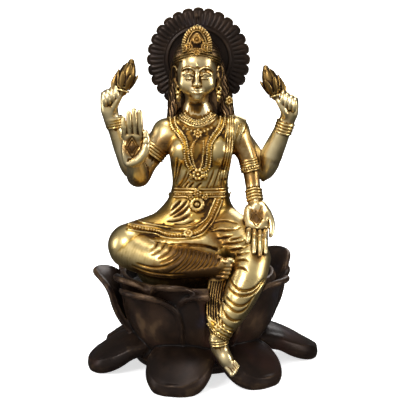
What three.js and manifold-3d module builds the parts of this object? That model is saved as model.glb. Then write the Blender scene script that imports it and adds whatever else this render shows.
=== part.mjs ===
// A seated four-armed goddess on a lotus: a cast brass figure, a dark lotus seat and a dark ribbed halo.
// Millimetres, +Z up. The figure faces -Y, and the origin is the middle of the seat's underside.
import * as THREE from "three";
import { MeshoptSimplifier } from "three/addons/libs/meshopt_simplifier.module.js";
import { mergeVertices } from "three/addons/utils/BufferGeometryUtils.js";
import Module from "manifold-3d";

const wasm = await Module();
wasm.setup();
await MeshoptSimplifier.ready;

// Driving sizes of the three castings
const FIGURE_HEIGHT = 222; // from the seat's top to the crown's tip
const SEAT_TOP = 70; // floor of the seat's basin
const SEAT_RADIUS = 59;
const SEAT_RIM_HEIGHT = 13; // above the basin's floor
const SEAT_RIM_WIDTH = 8;
const WAIST_RADIUS = 50; // neck of the lotus, between its two tiers
const WAIST_HEIGHT = 25;
const FOOT_RADIUS = 34; // flat middle of the underside
const FOOT_RISE = 7; // how far the underside lifts between the petals
const CUP_PETAL_WIDTH = 58;
const CUP_PETAL_WALL = 4.5;
const CUP_PETAL_FLARE = 9; // how far a tip turns outwards
const GROUND_PETAL_WIDTH = 52;
const GROUND_PETAL_WALL = 9;
const GROUND_PETAL_LIP = 9; // height of the lip at the tip
const HALO_RADIUS = 44;
const HALO_THICKNESS = 4;
const HALO_LOBES = 28;
const HALO_RIB_HEIGHT = 1.6;
const HALO_LIP = 2.8; // how far a lobe stands out past the notches beside it
const HALO_INNER_RADIUS = 27;
const HALO_COLLAR = 1; // the ring around the plain middle
const HALO_DROP = 31; // how far the halo's centre lies below the crown's tip
const CLEARANCE = 0.35; // between two castings that touch
const ROOM = CLEARANCE + 0.5; // around the hanging leg, whose folds make it uneven

// The pose below is laid out for this seated height, with its zero at the seat's top.
const POSE_HEIGHT = 222;
const POSE = FIGURE_HEIGHT / POSE_HEIGHT;
const HALO_BACK = 25 * POSE; // depth of the halo's back face
const FRONT = new THREE.Vector3(0, -1, 0);
const ASIDE = new THREE.Vector3(1, 0, 0);
const UP = new THREE.Vector3(0, 0, 1);

// The middle of the head, from which all that belongs to the head is placed
const HEAD = 183; // above the seat's top
const MIDDLE = -0.8; // the head stands a little left of the halo's centre

const polished = { color: 0xb08a48, metalness: 1, roughness: 0.28 };
const patinated = { color: 0x2b211b, metalness: 0.7, roughness: 0.38 };

// Closed meshes and booleans

function signedVolume(points, corners) {
  const [a, b, c] = [new THREE.Vector3(), new THREE.Vector3(), new THREE.Vector3()];
  let volume = 0;
  for (let i = 0; i < corners.length; i += 3) {
    a.fromBufferAttribute(points, corners[i]);
    b.fromBufferAttribute(points, corners[i + 1]);
    c.fromBufferAttribute(points, corners[i + 2]);
    volume += a.dot(b.cross(c)) / 6;
  }
  return volume;
}

// A solid from a closed geometry, with its faces turned outwards
function solidOf(geometry) {
  geometry.deleteAttribute("normal");
  geometry.deleteAttribute("uv");
  const merged = mergeVertices(geometry, 1e-4);
  const points = merged.attributes.position;
  const triVerts = new Uint32Array(merged.index.array);
  if (signedVolume(points, triVerts) < 0) {
    for (let i = 0; i < triVerts.length; i += 3) {
      [triVerts[i + 1], triVerts[i + 2]] = [triVerts[i + 2], triVerts[i + 1]];
    }
  }
  const vertProperties = new Float32Array(points.array);
  return new wasm.Manifold(new wasm.Mesh({ numProp: 3, vertProperties, triVerts }));
}

function solidFrom(positions, faces) {
  const geometry = new THREE.BufferGeometry();
  geometry.setAttribute("position", new THREE.Float32BufferAttribute(positions, 3));
  geometry.setIndex(faces);
  return solidOf(geometry);
}

const join = (solids) => wasm.Manifold.union(solids);

// The solid without the hollows that are sealed inside it, or the crumbs that a cut leaves beside it
const CRUMB = 20; // cubic millimetres
const filled = (solid) => join(solid.decompose().filter((shell) => shell.volume() > CRUMB));

// Points that meet within WELD become one. The slivers that cuts and joins leave are then merged into their
// neighbours, which moves no face further than TIDY.
const WELD = 0.02;
const TIDY = 0.1;
const welded = (mesh) => new wasm.Manifold(mesh).simplify(WELD);

function tidied(solid) {
  const { vertProperties, triVerts } = welded(solid.getMesh()).getMesh();
  const [slim] = MeshoptSimplifier.simplify(triVerts, vertProperties, 3, 0, TIDY, ["ErrorAbsolute"]);
  return welded(new wasm.Mesh({ numProp: 3, vertProperties, triVerts: slim }));
}

function geometryOf(solid) {
  const mesh = solid.getMesh();
  const geometry = new THREE.BufferGeometry();
  geometry.setAttribute("position", new THREE.Float32BufferAttribute(mesh.vertProperties, 3));
  geometry.setIndex([...mesh.triVerts]);
  geometry.computeVertexNormals();
  return geometry;
}

function casting(name, solid, finish) {
  const geometry = geometryOf(filled(tidied(filled(solid))));
  const mesh = new THREE.Mesh(geometry, new THREE.MeshStandardMaterial(finish));
  mesh.name = name;
  return mesh;
}

// A closed skin over rings of points, each ring with as many points, drawn to a pole at both ends
function skin(rings, poles = []) {
  const sides = rings[0].length;
  const positions = rings.flat().flatMap((point) => point.toArray());
  const faces = [];
  for (let i = 0; i + 1 < rings.length; i++) {
    for (let j = 0; j < sides; j++) {
      const [p, q] = [i * sides + j, i * sides + ((j + 1) % sides)];
      faces.push(p, q, q + sides, p, q + sides, p + sides);
    }
  }
  [0, rings.length - 1].forEach((at, end) => {
    const middle = new THREE.Vector3();
    for (const point of rings[at]) middle.addScaledVector(point, 1 / sides);
    const pole = positions.length / 3;
    positions.push(...(poles[end] ?? middle).toArray());
    for (let j = 0; j < sides; j++) {
      const [p, q] = [at * sides + j, at * sides + ((j + 1) % sides)];
      faces.push(...(end ? [pole, p, q] : [pole, q, p]));
    }
  });
  return solidFrom(positions, faces);
}

// A limb through rows of [x, y, z, radius] in the pose's frame.
// depth is its thickness over its width, measured towards facing; grow makes it fatter all round.
// fold sinks every other ring and pleat every other side, as shares of the radius.
// round says which ends are rounded; the other ends are flat and lie inside their neighbour.
function limb(rows, shape = {}) {
  const { sides = 10, steps = 2, depth = 1, facing = FRONT } = shape;
  const { grow = 0, fold = 0, pleat = 0, round = [0, 1] } = shape;
  const middles = rows.map((row) => new THREE.Vector3(...row));
  const curve = new THREE.CatmullRomCurve3(middles, false, "centripetal");
  const spans = rows.length - 1;
  const count = spans * steps;
  const ringAt = (centre, along, radius) => {
    const front = facing.clone().addScaledVector(along, -facing.dot(along)).normalize();
    const side = new THREE.Vector3().crossVectors(along, front);
    return Array.from({ length: sides }, (_, j) => {
      const turn = (2 * Math.PI * j) / sides;
      const reach = radius * (1 - pleat * (j % 2));
      return centre.clone()
        .addScaledVector(front, Math.cos(turn) * (reach * depth + grow))
        .addScaledVector(side, Math.sin(turn) * (reach + grow));
    });
  };
  const rings = [];
  const poles = [];
  for (let i = 0; i <= count; i++) {
    const span = Math.min(spans - 1, Math.floor(i / steps));
    const full = THREE.MathUtils.lerp(rows[span][3], rows[span + 1][3], i / steps - span);
    const radius = full * (1 - fold * (i % 2));
    const centre = curve.getPoint(i / count);
    const along = curve.getTangent(i / count).normalize();
    const ring = ringAt(centre, along, radius);
    const end = i === 0 ? 0 : 1;
    const outward = along.clone().multiplyScalar(end ? 1 : -1);
    const capped = (i === 0 || i === count) && round[end];
    const bulge = centre.clone().addScaledVector(outward, 0.62 * radius * depth + 0.8 * grow);
    const cap = capped ? [ringAt(bulge, along, radius * 0.74)] : [];
    if (capped) poles[end] = centre.clone().addScaledVector(outward, 0.95 * radius * depth + grow);
    rings.push(...(end ? [ring, ...cap] : [...cap, ring]));
  }
  return skin(rings, poles);
}

// An egg of half sizes [x, y, z] at a place in the pose's frame
function egg(place, size, { around = 8, rows = 4 } = {}) {
  const ball = new THREE.SphereGeometry(1, around, rows).rotateX(Math.PI / 2);
  return solidOf(ball.scale(...size).translate(...place));
}

// A stack of flattened ovals: rows of [z, middle x, middle y, half width, half depth, pleat].
// pleat is the share by which every other side sinks.
function stack(rows, sides) {
  return skin(rows.map(([z, x, y, width, depth, pleat = 0]) => Array.from({ length: sides }, (_, j) => {
    const turn = (2 * Math.PI * j) / sides;
    const [c, s] = [Math.cos(turn), Math.sin(turn)];
    const reach = (c ** 4 + s ** 4) ** -0.12 * (1 - pleat * (j % 2)); // a little squarer than an ellipse
    return new THREE.Vector3(x + width * c * reach, y + depth * s * reach, z);
  })));
}

// The depth of a solid's front surface under a point seen from the front
function frontOf(solid) {
  const mesh = new THREE.Mesh(geometryOf(solid), new THREE.MeshBasicMaterial());
  const ray = new THREE.Raycaster();
  return (x, z) => {
    ray.set(new THREE.Vector3(x, -2 * POSE_HEIGHT, z), new THREE.Vector3(0, 1, 0));
    return ray.intersectObject(mesh)[0]?.point.y ?? 0;
  };
}

// A cord, fold or groove laid on that surface along [x, z] points. taper is how thick its ends stay.
function laid(front, path, radius, { sides = 3, count = 6, proud = 0.2, taper = 0.35, pleat = 0 } = {}) {
  const flat = new THREE.SplineCurve(path.map(([x, z]) => new THREE.Vector2(x, z)));
  const rows = flat.getPoints(count).map(({ x, y: z }, i) => {
    const swell = taper + (1 - taper) * Math.sin((Math.PI * i) / count) ** 0.5;
    return [x, front(x, z) - proud * radius, z, radius * swell];
  });
  return limb(rows, { sides, steps: 1, pleat, round: [0, 0] });
}

// The body, in the pose's frame

const TORSO = [
  [40, -3, 2, 36, 23],
  [52, -3, 3, 39, 23],
  [63, -1.5, 5, 32.5, 20, 0.05],
  [74, 0.8, 5, 26.5, 17, 0.06],
  [86, 1.7, 4.5, 23.8, 15.2, 0.06],
  [103, 2.2, 3, 25.3, 15.7, 0.05],
  [120, 2.5, 2.5, 28, 15.5],
  [133, 2.3, 4.5, 31, 13.5],
  [140, 2, 6, 25, 11],
  [146, 0.5, 5, 13, 10],
];
const NECK = [
  [-0.5, 5, 140, 12],
  [MIDDLE, 3.5, (140 + HEAD - 15) / 2, 9.8],
  [MIDDLE, 3, HEAD - 15, 10],
];

// Each arm from its root to its wrist, with its armlet and bracelet as thicker rows
const FRONT_ARM_LEFT = [
  [-24, 4, 131, 11],
  [-33, 1.5, 121, 10.6],
  [-38, 0.5, 114, 10],
  [-39, 0, 113, 12],
  [-43.5, -1, 107, 11.8],
  [-44.5, -1.2, 105.5, 9.8],
  [-50, -3, 95.5, 10],
  [-51, -15, 102, 8.4],
  [-52, -23, 114, 6.6],
];
const REAR_ARM_LEFT = [
  [-25, 8, 131, 10.5],
  [-44, 11, 113, 9],
  [-55, 12, 99, 9.4],
  [-63, 9, 117, 8.8],
  [-68, 6, 130, 7],
  [-68.3, 6, 131, 9],
  [-70.3, 5, 136.5, 8.8],
  [-70.8, 4.6, 138, 6.2],
];
const FRONT_ARM_RIGHT = [
  [27, 4, 132, 11],
  [35, 2, 124, 10],
  [41.7, 0.7, 109.5, 7.6],
  [42, 0.6, 108.5, 9.2],
  [44.4, -0.3, 100, 9],
  [44.8, -0.5, 98.5, 6.9],
  [46.5, -5, 85.5, 6.2],
  [46.7, -6, 84, 8],
  [47.8, -10, 76.5, 7.8],
  [48, -11, 75, 6.2],
  [48.3, -14, 68, 5],
];
const REAR_ARM_RIGHT = [
  [28, 8, 132, 11],
  [46, 12, 112, 8.5],
  [57.5, 13, 95, 8],
  [63, 9, 114, 10],
  [70, 5, 129.5, 7.6],
  [71, 4.8, 130.5, 8.6],
  [73.8, 3, 138.5, 8.3],
  [73.8, 2.8, 139.5, 6.2],
];
const SHOULDERS = [
  [[-27, 4, 131], [12, 11, 12]],
  [[32, 3, 131], [12, 11, 13.5]],
];
const THIGH_FOLDED = [
  [-20, 2, 48, 19],
  [-38, -9, 43.5, 18.5],
  [-57, -22, 39.5, 18.5],
];
const SHIN_FOLDED = [
  [-57.5, -23, 37.5, 17.3],
  [-34, -40, 31.5, 14.8],
  [-9, -51, 30.5, 12.2],
  [11, -56, 31, 9.6],
];
const THIGH_HANGING = [
  [20, 2, 50, 18.5],
  [33, -22, 46, 17],
  [44, -45, 36.5, 14.5],
];
const SHIN_HANGING = [
  [45, -50, 35, 14.3],
  [41, -57, 22, 14.8],
  [35, -63, 8.5, 13.6],
  [28.5, -67, -4.5, 11.4],
  [21.5, -69, -17, 8.8],
  [17, -69, -26, 7.4],
];
const FOOT_HANGING = [
  [16.5, -68.5, -28, 7.2],
  [18.5, -69, -36, 6.7],
  [22.8, -71, -44, 6],
  [27.5, -73.5, -50, 4.8],
];
const TOES_HANGING = [
  [27.5, -74, -49, 4.6],
  [32, -77, -54.5, 5],
];
const SASH = [
  [16, -57, 18, 7],
  [13.5, -62, 2, 7],
  [14, -67, -12, 6.6],
  [16.5, -70, -22, 6.4],
];

// The notch in the petals through which the sash hangs over the rim of the seat
const SASH_NOTCH = [
  [16, -62, 24, 9],
  [15.5, -70, 12, 8.8],
  [15, -77, -1, 6],
];

const bust = () => [-12.5, 15.5].map((x) => egg([x, -7.5, 117], [12, 9, 11.5], { around: 10, rows: 6 }));

// The torso with the gathered skirt that it sits on
const torso = () => join([
  stack(TORSO, 16),
  limb(NECK, { sides: 10, steps: 1, round: [0, 0] }),
  egg([-4, 2, 20], [52, 32, 28], { around: 12, rows: 5 }),
  egg([-14, -16, 14], [36, 24, 17], { around: 12, rows: 5 }),
  ...bust(),
]);

// The folded leg under its drapery
const foldedLeg = () => [
  egg([-8, -22, 36], [38, 24, 20], { around: 10, rows: 5 }),
  limb(THIGH_FOLDED, { sides: 12, fold: 0.03 }),
  limb(SHIN_FOLDED, { steps: 3, fold: 0.08, round: [1, 1] }),
];

// The hanging leg with its foot, and the sash beside it. The lotus is cut to clear them, so they can be
// made fatter by a gap, with their folds smoothed over.
const hangingLeg = ({ grow = 0, folds = 1 } = {}) => [
  limb(THIGH_HANGING, { steps: 3, fold: 0.05 * folds, grow }),
  limb(SHIN_HANGING, { fold: 0.08 * folds, round: [1, 0], grow }),
  limb(FOOT_HANGING, { sides: 7, steps: 1, grow }),
  limb(TOES_HANGING, { sides: 10, steps: 1, depth: 0.55, pleat: 0.3 * folds, grow }),
  limb(SASH, { sides: 8, steps: 1, depth: 0.6, pleat: 0.22 * folds, round: [0, 0], grow }),
];

// The resting foot with its toes in a column beside the knee
const restingFoot = () => [
  egg([16, -58, 31], [10, 7.5, 8]),
  ...[3, 2.3, 2.2, 2.1, 2].map((size, i) => {
    const place = [24.5 - 0.9 * i, -62.5, 36 - 3.3 * i];
    return egg(place, [size * 1.5, size, size * 0.95], { around: 5, rows: 3 });
  }),
];

const digit = (rows) => limb(rows, { sides: 4, steps: 1, round: [0, 0] });

// A hand with its palm, its finger tips from one edge to the other, and its thumb
function openHand(palm, roots, tips, thumb, radius) {
  const fingers = tips.map((tip, i) => {
    const share = i / (tips.length - 1);
    const root = roots[0].map((value, axis) => THREE.MathUtils.lerp(value, roots[1][axis], share));
    const knuckle = root.map((value, axis) => (value + tip[axis]) / 2);
    knuckle[1] -= 1;
    return digit([[...root, radius], [...knuckle, radius], [...tip, radius * 0.8]]);
  });
  return join([palm, digit(thumb), ...fingers]);
}

const raisedHand = () => openHand(
  egg([-53, -26, 122.5], [10.2, 4.2, 13], { around: 6 }),
  [[-59.5, -27, 130], [-48.3, -27, 130]],
  [[-60.8, -30, 147], [-56.8, -31, 152], [-52.2, -31, 154.5], [-48, -31, 153]],
  [[-47, -27, 114, 3.6], [-42.5, -29, 124, 3.2], [-42.3, -30, 137, 2.2]],
  2.4,
);
const GIVING_PALM = [
  [48.2, -12, 75, 5.6],
  [48.5, -22, 67, 10],
  [48.8, -33, 59, 10],
  [49.2, -39, 54.5, 8.6],
];
const givingHand = () => openHand(
  limb(GIVING_PALM, { sides: 6, steps: 1, depth: 0.46, round: [0, 0] }),
  [[42.4, -37, 55.5], [55.4, -37, 55.5]],
  [[40.6, -51, 50.5], [44.9, -58, 43.5], [49.6, -60, 41], [54.3, -57, 42.5]],
  [[52.5, -19, 70, 3.4], [60, -27, 64, 3.3], [60.5, -36, 50.5, 1.9]],
  2.4,
);

// A hand closed around a stem, with the lotus bud that it holds up
function budHand(side, wrist, knuckle, foot, tip, width) {
  const [kx, ky, kz] = knuckle;
  const heel = [(kx + wrist[0]) / 2 - side, ky, (kz + wrist[2]) / 2, 8];
  const back = [[...wrist, 6.2], heel, [kx - side * 3.5, ky, kz - 1, 6.4]];
  const made = [
    limb(back, { sides: 6, steps: 1, depth: 0.7, round: [0, 0] }),
    digit([[kx - side * 8, ky - 2, kz - 12, 3.4], [kx - side * 11, ky - 4, kz - 4, 3.2], [...foot, 2.6]]),
  ];
  for (let i = 0; i < 4; i++) {
    const x = kx - side * 3.4 * i;
    const z = kz + 1.9 * i;
    made.push(digit([[x, ky + 2, z + 0.5, 2.4], [x, ky - 5, z + 1, 2.6], [x - side, ky - 6.5, z - 6, 2.2]]));
  }
  const [from, to] = [new THREE.Vector3(...foot), new THREE.Vector3(...tip)];
  const stem = to.clone().sub(from).normalize();
  const across = new THREE.Vector3(stem.z, 0, -stem.x).multiplyScalar(side);
  const onBud = (share, offset, radius) => {
    const point = from.clone().lerp(to, share).addScaledVector(across, offset * width);
    return [...point.toArray(), radius * width];
  };
  const bulb = [[0, 0, 0.62], [0.16, 0, 0.56], [0.36, -0.2, 1], [0.68, -0.14, 0.82], [1.04, 0, 0.35]];
  const bulbShape = { sides: 6, steps: 1, depth: 0.8, pleat: 0.14, round: [0, 0] };
  made.push(limb(bulb.map((row) => onBud(...row)), bulbShape));
  for (const [start, end, offset] of [[0.1, 0.76, 0.62], [-0.16, 0.5, 1.15]]) {
    const leaf = [[start, offset * 0.8, 0.3], [(start + end) / 2, offset, 0.44], [end, offset * 0.95, 0.12]];
    made.push(digit(leaf.map((row) => onBud(...row))));
  }
  return join(made);
}

// The head

function face() {
  const nose = [[MIDDLE, -13.2, HEAD - 1, 1.4], [MIDDLE, -16.3, HEAD - 9.5, 2.3]];
  const made = [
    egg([MIDDLE, 2, HEAD], [16.8, 16.5, 21], { around: 12, rows: 6 }),
    egg([MIDDLE, -4, HEAD - 14], [8.8, 10, 9.3], { around: 8, rows: 4 }),
    limb(nose, { sides: 4, steps: 1, round: [0, 0] }),
    egg([MIDDLE, -13, HEAD - 16], [4, 1.8, 1.8], { around: 6, rows: 4 }),
  ];
  for (const side of [-1, 1]) {
    const at = (share) => MIDDLE + side * share;
    const brow = [
      [at(2.2), -13.8, HEAD + 1.4, 0.9],
      [at(7), -13, HEAD + 4, 1],
      [at(12.2), -9.6, HEAD + 1.8, 0.7],
    ];
    made.push(limb(brow, { sides: 3, steps: 1, round: [0, 0] }));
    made.push(egg([at(6.8), -12.1, HEAD - 2.4], [3.6, 2.3, 1.8], { around: 6, rows: 3 }));
    const ear = [[at(17), 3, HEAD + 4, 2.2], [at(18.6), 1, HEAD - 3, 2.7], [at(17.8), 1, HEAD - 12, 2.2]];
    made.push(limb(ear, { sides: 5, steps: 1, round: [0, 0] }));
    made.push(egg([at(18.8), 2.5, HEAD - 21], [3.6, 3.4, 6], { around: 6 }));
  }
  return made;
}

const LOCK_LEFT = [
  [-18, 8, HEAD + 5, 5],
  [-19.5, 10, HEAD - 11, 5.5],
  [-20, 10, HEAD - 27, 6],
  [-22, 5, 137, 5.5],
];
const LOCK_RIGHT = [
  [17, 8, HEAD + 5, 5],
  [20, 10, HEAD - 11, 6],
  [23.5, 10, HEAD - 27, 6.5],
  [27, 5, 137, 5.5],
];
const HAIR_BACK = [
  [0, 13, HEAD + 13, 16],
  [0, 12.5, HEAD - 7, 19],
  [1, 11, HEAD - 25, 20],
  [1.5, 12, 130, 17],
  [1.5, 13, 108, 6],
];

const hair = () => [
  egg([MIDDLE, 6, HEAD + 9], [20.5, 15.5, 19], { around: 10, rows: 6 }),
  egg([MIDDLE, 4, HEAD + 26], [9.5, 9, 10], { around: 6 }),
  limb(LOCK_LEFT, { sides: 8, steps: 1, pleat: 0.14, round: [0, 0] }),
  limb(LOCK_RIGHT, { sides: 8, steps: 1, pleat: 0.14, round: [0, 0] }),
  limb(HAIR_BACK, { steps: 1, depth: 0.45 }),
  egg([27, 2, HEAD - 25], [4.4, 4, 4.4], { around: 6 }),
];

// The crown's pointed front plate with its rayed edge and jewels, and the fillet above the brow
const PLATE = { rise: 21.5, half: 12.8, wall: 3.5, rays: 11 };

function crown() {
  const foot = HEAD + 17.5;
  const plateFront = (x, z) => -13 + 5 * (x / PLATE.half) ** 2 + (z - foot) * 0.17;
  const edge = Array.from({ length: 2 * PLATE.rays + 1 }, (_, i) => {
    const share = Math.sin(Math.PI * (i / (2 * PLATE.rays) - 0.5));
    const notch = i % 2 ? 1 : 0.92;
    return [PLATE.half * share * notch, foot + PLATE.rise * notch * (1 - share ** 2) ** 0.6];
  });
  edge.push([0, foot - 1]);
  const rings = [PLATE.wall, 0].map((back) =>
    edge.map(([x, z]) => new THREE.Vector3(MIDDLE + x, plateFront(x, z) + back, z)));
  const jewel = (x, rise, radius) =>
    egg([MIDDLE + x, plateFront(x, foot + rise), foot + rise], [radius, 1.8, radius], { around: 6 });
  const fillet = Array.from({ length: 7 }, (_, i) => {
    const turn = Math.PI * (0.05 + 0.9 * (i / 6));
    const z = HEAD + 14.3 - 6.2 * Math.cos(turn) ** 2;
    return [MIDDLE - 19.8 * Math.cos(turn), 5 - 18.2 * Math.sin(turn), z, 2.1];
  });
  const heart = foot + 0.43 * PLATE.rise;
  const poles = [PLATE.wall, 0].map((back) => new THREE.Vector3(MIDDLE, plateFront(0, heart) + back, heart));
  return [
    skin(rings, poles),
    jewel(0, 9, 3.8),
    jewel(0, -1, 2.6),
    jewel(-7.4, 4, 2.8),
    jewel(7.4, 4, 2.8),
    limb(fillet, { sides: 4, steps: 1, round: [0, 0] }),
  ];
}

// Jewellery and drapery that stand out from the body, as [x, z] paths seen from the front

function jewellery(front) {
  const collar = [[-18, 141], [-13, 135], [-0.5, 130], [12, 135], [18, 141]];
  const garland = [[-21, 138], [-13, 125], [-7.5, 110], [-0.6, 94], [6.5, 110], [14, 125], [21, 138]];
  const rosette = (x, z, radius) => egg([x, front(x, z) - 0.4, z], [radius, 2.3, radius], { around: 6 });
  return [
    laid(front, collar, 2.8, { count: 6, taper: 0.7 }),
    laid(front, garland, 2.3, { count: 8, taper: 0.8 }),
    rosette(-0.6, 124, 5.2),
    rosette(-0.6, 94.5, 5.8),
    rosette(0, 74.5, 7.6),
    rosette(0, 83.5, 4.2),
  ];
}

function drapery(front) {
  const girdle = [[19, 74], [18, 63], [9, 53], [-8, 48.5], [-30, 51], [-48, 55]];
  const scarf = [[28, 142], [26, 118], [21, 92]];
  const bodiceFolds = [0, 1, 2].flatMap((i) => [-1, 1].map((side) =>
    [[side * 23, 108 - 7 * i], [side * 18, 98 - 6 * i], [side * (13 - i), 90 - 3 * i]]));
  const hipFolds = [0, 1, 2, 3].map((i) => [[-14 + 3 * i, 71 - 2 * i], [-24 + 2 * i, 61], [-33 + i, 56 - i]]);
  const lapFolds = [0, 1, 2, 3].map((i) =>
    [[19 + 4 * i, 60 - 5 * i], [10 + 5 * i, 49 - 4 * i], [1 + 6 * i, 42 - 4 * i]]);
  return [
    ...[...bodiceFolds, ...hipFolds, ...lapFolds].map((path) => laid(front, path, 1.5, { count: 4 })),
    laid(front, [[-21, 84.5], [0, 83], [25, 84.5]], 2, { count: 6, taper: 0.9 }),
    laid(front, girdle, 3, { count: 8, proud: 0.1 }),
    laid(front, scarf, 5, { sides: 8, count: 4, proud: -0.25, taper: 0.8, pleat: 0.18 }),
  ];
}

function figure() {
  const body = join([
    torso().subtract(lotusCore(CLEARANCE).translate([0, 0, -SEAT_TOP]).scale(1 / POSE)),
    ...foldedLeg(),
    ...hangingLeg(),
    limb(FRONT_ARM_LEFT, { steps: 1, facing: ASIDE, round: [0, 0] }),
    limb(REAR_ARM_LEFT, { steps: 1, round: [0, 0] }),
    limb(FRONT_ARM_RIGHT, { steps: 1, facing: ASIDE, round: [0, 0] }),
    limb(REAR_ARM_RIGHT, { steps: 1, round: [0, 0] }),
    ...SHOULDERS.map(([place, size]) => egg(place, size)),
  ]);
  const front = frontOf(body);
  return join([
    body,
    ...drapery(front),
    ...jewellery(front),
    ...restingFoot(),
    ...face(),
    ...hair(),
    ...crown(),
    raisedHand(),
    givingHand(),
    budHand(-1, [-71.3, 4, 138], [-79, 1, 162.5], [-62.5, -4, 166.5], [-55, -2, 191.5], 7.6),
    budHand(1, [74, 2, 139], [81.5, 0, 158], [64.5, -3, 162.5], [56, -3, 186.5], 7.2),
  ]).scale(POSE);
}

// The lotus seat

// Each petal of the cup: its angle from the front in degrees, and its tip's radius, height and width share
const OUTER_PETALS = [
  [-44, 77, 77, 1.19],
  [10, 74, 80, 1.02],
  [57, 82, 85.5, 1.06],
  [112, 81, 79, 1.1],
  [161, 80, 80, 1],
  [209, 80, 80, 1],
  [261, 88, 80, 1],
];
const INNER_PETALS = [
  [-60, 74, 85, 1],
  [-17, 76, 87, 0.8],
  [122, 88, 90, 1.05],
  [171, 84, 89, 0.8],
  [231, 84, 86, 0.8],
];
// Each petal of the ground tier: its angle, and its reach
const GROUND_PETALS = [
  [-80, 95],
  [-13.5, 91],
  [42, 88.5],
  [103, 107],
  [165, 94],
  [233, 96],
];

// A closed sheet between an outer and an inner surface, each given over across -1..1 and along 0..1
function sheet(outer, inner, across, along) {
  const positions = [];
  const faces = [];
  for (const surface of [outer, inner]) {
    for (let i = 0; i <= along; i++) {
      for (let j = 0; j <= across; j++) {
        positions.push(...surface((2 * j) / across - 1, i / along).toArray());
      }
    }
  }
  const at = (side, i, j) => (side * (along + 1) + i) * (across + 1) + j;
  for (let i = 0; i < along; i++) {
    for (let j = 0; j < across; j++) {
      faces.push(at(0, i, j), at(0, i, j + 1), at(0, i + 1, j + 1));
      faces.push(at(0, i, j), at(0, i + 1, j + 1), at(0, i + 1, j));
      faces.push(at(1, i, j), at(1, i + 1, j + 1), at(1, i, j + 1));
      faces.push(at(1, i, j), at(1, i + 1, j), at(1, i + 1, j + 1));
    }
  }
  const border = [];
  for (let j = 0; j < across; j++) border.push([0, j]);
  for (let i = 0; i < along; i++) border.push([i, across]);
  for (let j = across; j > 0; j--) border.push([along, j]);
  for (let i = along; i > 0; i--) border.push([i, 0]);
  border.forEach(([i, j], n) => {
    const [k, l] = border[(n + 1) % border.length];
    faces.push(at(0, k, l), at(0, i, j), at(1, i, j));
    faces.push(at(0, k, l), at(1, i, j), at(1, k, l));
  });
  return solidFrom(positions, faces);
}

// A petal of the cup: it rises from the waist, bulges, narrows to a blunt tip and flares outwards there.
function cupPetal([angle, tipRadius, tipHeight, share]) {
  const half = (CUP_PETAL_WIDTH * share) / 2;
  const foot = WAIST_HEIGHT - 6;
  const surface = (inset) => (across, along) => {
    const tip = Math.max(0, along - 0.42) / 0.58;
    const outline = along < 0.42 ? 0.8 + 0.48 * along : Math.sqrt(Math.max(1 - tip ** 2.3, 0.2));
    const height = foot + (tipHeight - foot) * (1 - (1 - along) ** 1.35);
    const bulge = (tipRadius - CUP_PETAL_FLARE - WAIST_RADIUS) * (1 - (1 - along) ** 3.8);
    const flare = 1.2 * CUP_PETAL_FLARE * (Math.max(0, along - 0.6) / 0.4) ** 1.8;
    const radius = WAIST_RADIUS + bulge + flare - 4 * across ** 2 * (1 - along) - inset;
    const turn = THREE.MathUtils.degToRad(angle) + (half * outline * across) / radius;
    return new THREE.Vector3(radius * Math.sin(turn), -radius * Math.cos(turn), height);
  };
  const wall = (along) => CUP_PETAL_WALL * (1.7 - 0.9 * along);
  return sheet(surface(0), (across, along) => surface(wall(along))(across, along), 4, 5);
}

// A petal of the ground tier: a thick tongue that slopes outwards and down to a lip that touches the ground.
function groundPetal([angle, reach]) {
  const start = WAIST_RADIUS - 16;
  const surface = (under) => (across, along) => {
    const tip = Math.max(0, (along - 0.5) / 0.5);
    const outline = 0.72 + 0.28 * Math.sin(Math.PI * Math.min(0.5, along)) - 0.62 * tip ** 2.4;
    const side = (GROUND_PETAL_WIDTH / 2) * outline * across;
    const out = start + (reach - start) * along - 5 * tip * across ** 2;
    const slope = GROUND_PETAL_LIP + 26 * (1 - along ** 1.6);
    const dome = 4 * (1 - across ** 2) * Math.sin(Math.PI * along) - 5 * across ** 2 * (1 - along);
    const top = slope + dome;
    const bottom = Math.max(0, top - GROUND_PETAL_WALL - 6 * (1 - along)) * (1 - tip ** 0.7);
    const point = new THREE.Vector3(side, -out, under ? bottom : top);
    return point.applyAxisAngle(UP, THREE.MathUtils.degToRad(angle));
  };
  return sheet(surface(false), surface(true), 4, 4);
}

// The lotus without its petals: foot, waist, cup and the basin that the figure sits in
function lotusCore(grow = 0) {
  const rim = SEAT_TOP + SEAT_RIM_HEIGHT;
  const outside = SEAT_RADIUS + SEAT_RIM_WIDTH;
  const profile = [
    [0, -grow],
    [FOOT_RADIUS + grow, -grow],
    [WAIST_RADIUS + 4 + grow, FOOT_RISE - grow],
    [WAIST_RADIUS + 6 + grow, FOOT_RISE + 6],
    [WAIST_RADIUS + grow, WAIST_HEIGHT],
    [(WAIST_RADIUS + outside) / 2 + grow, (SEAT_TOP + WAIST_HEIGHT) / 2],
    [outside + grow, rim - 4],
    [outside - 2 + grow, rim + grow],
    [outside - 5 - grow, rim + grow],
    [SEAT_RADIUS - grow, SEAT_TOP + grow],
    [0, SEAT_TOP + grow],
  ];
  const points = profile.map(([radius, z]) => new THREE.Vector2(radius, z));
  return solidOf(new THREE.LatheGeometry(points, 20).rotateX(Math.PI / 2));
}

const lotus = () => join([
  lotusCore(),
  ...OUTER_PETALS.map(cupPetal),
  ...INNER_PETALS.map(cupPetal),
  ...GROUND_PETALS.map(groundPetal),
]).subtract(join([
  ...hangingLeg({ grow: ROOM, folds: 0 }),
  limb(SASH_NOTCH, { sides: 8, steps: 1 }),
]).scale(POSE).translate([0, 0, SEAT_TOP]));

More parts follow.
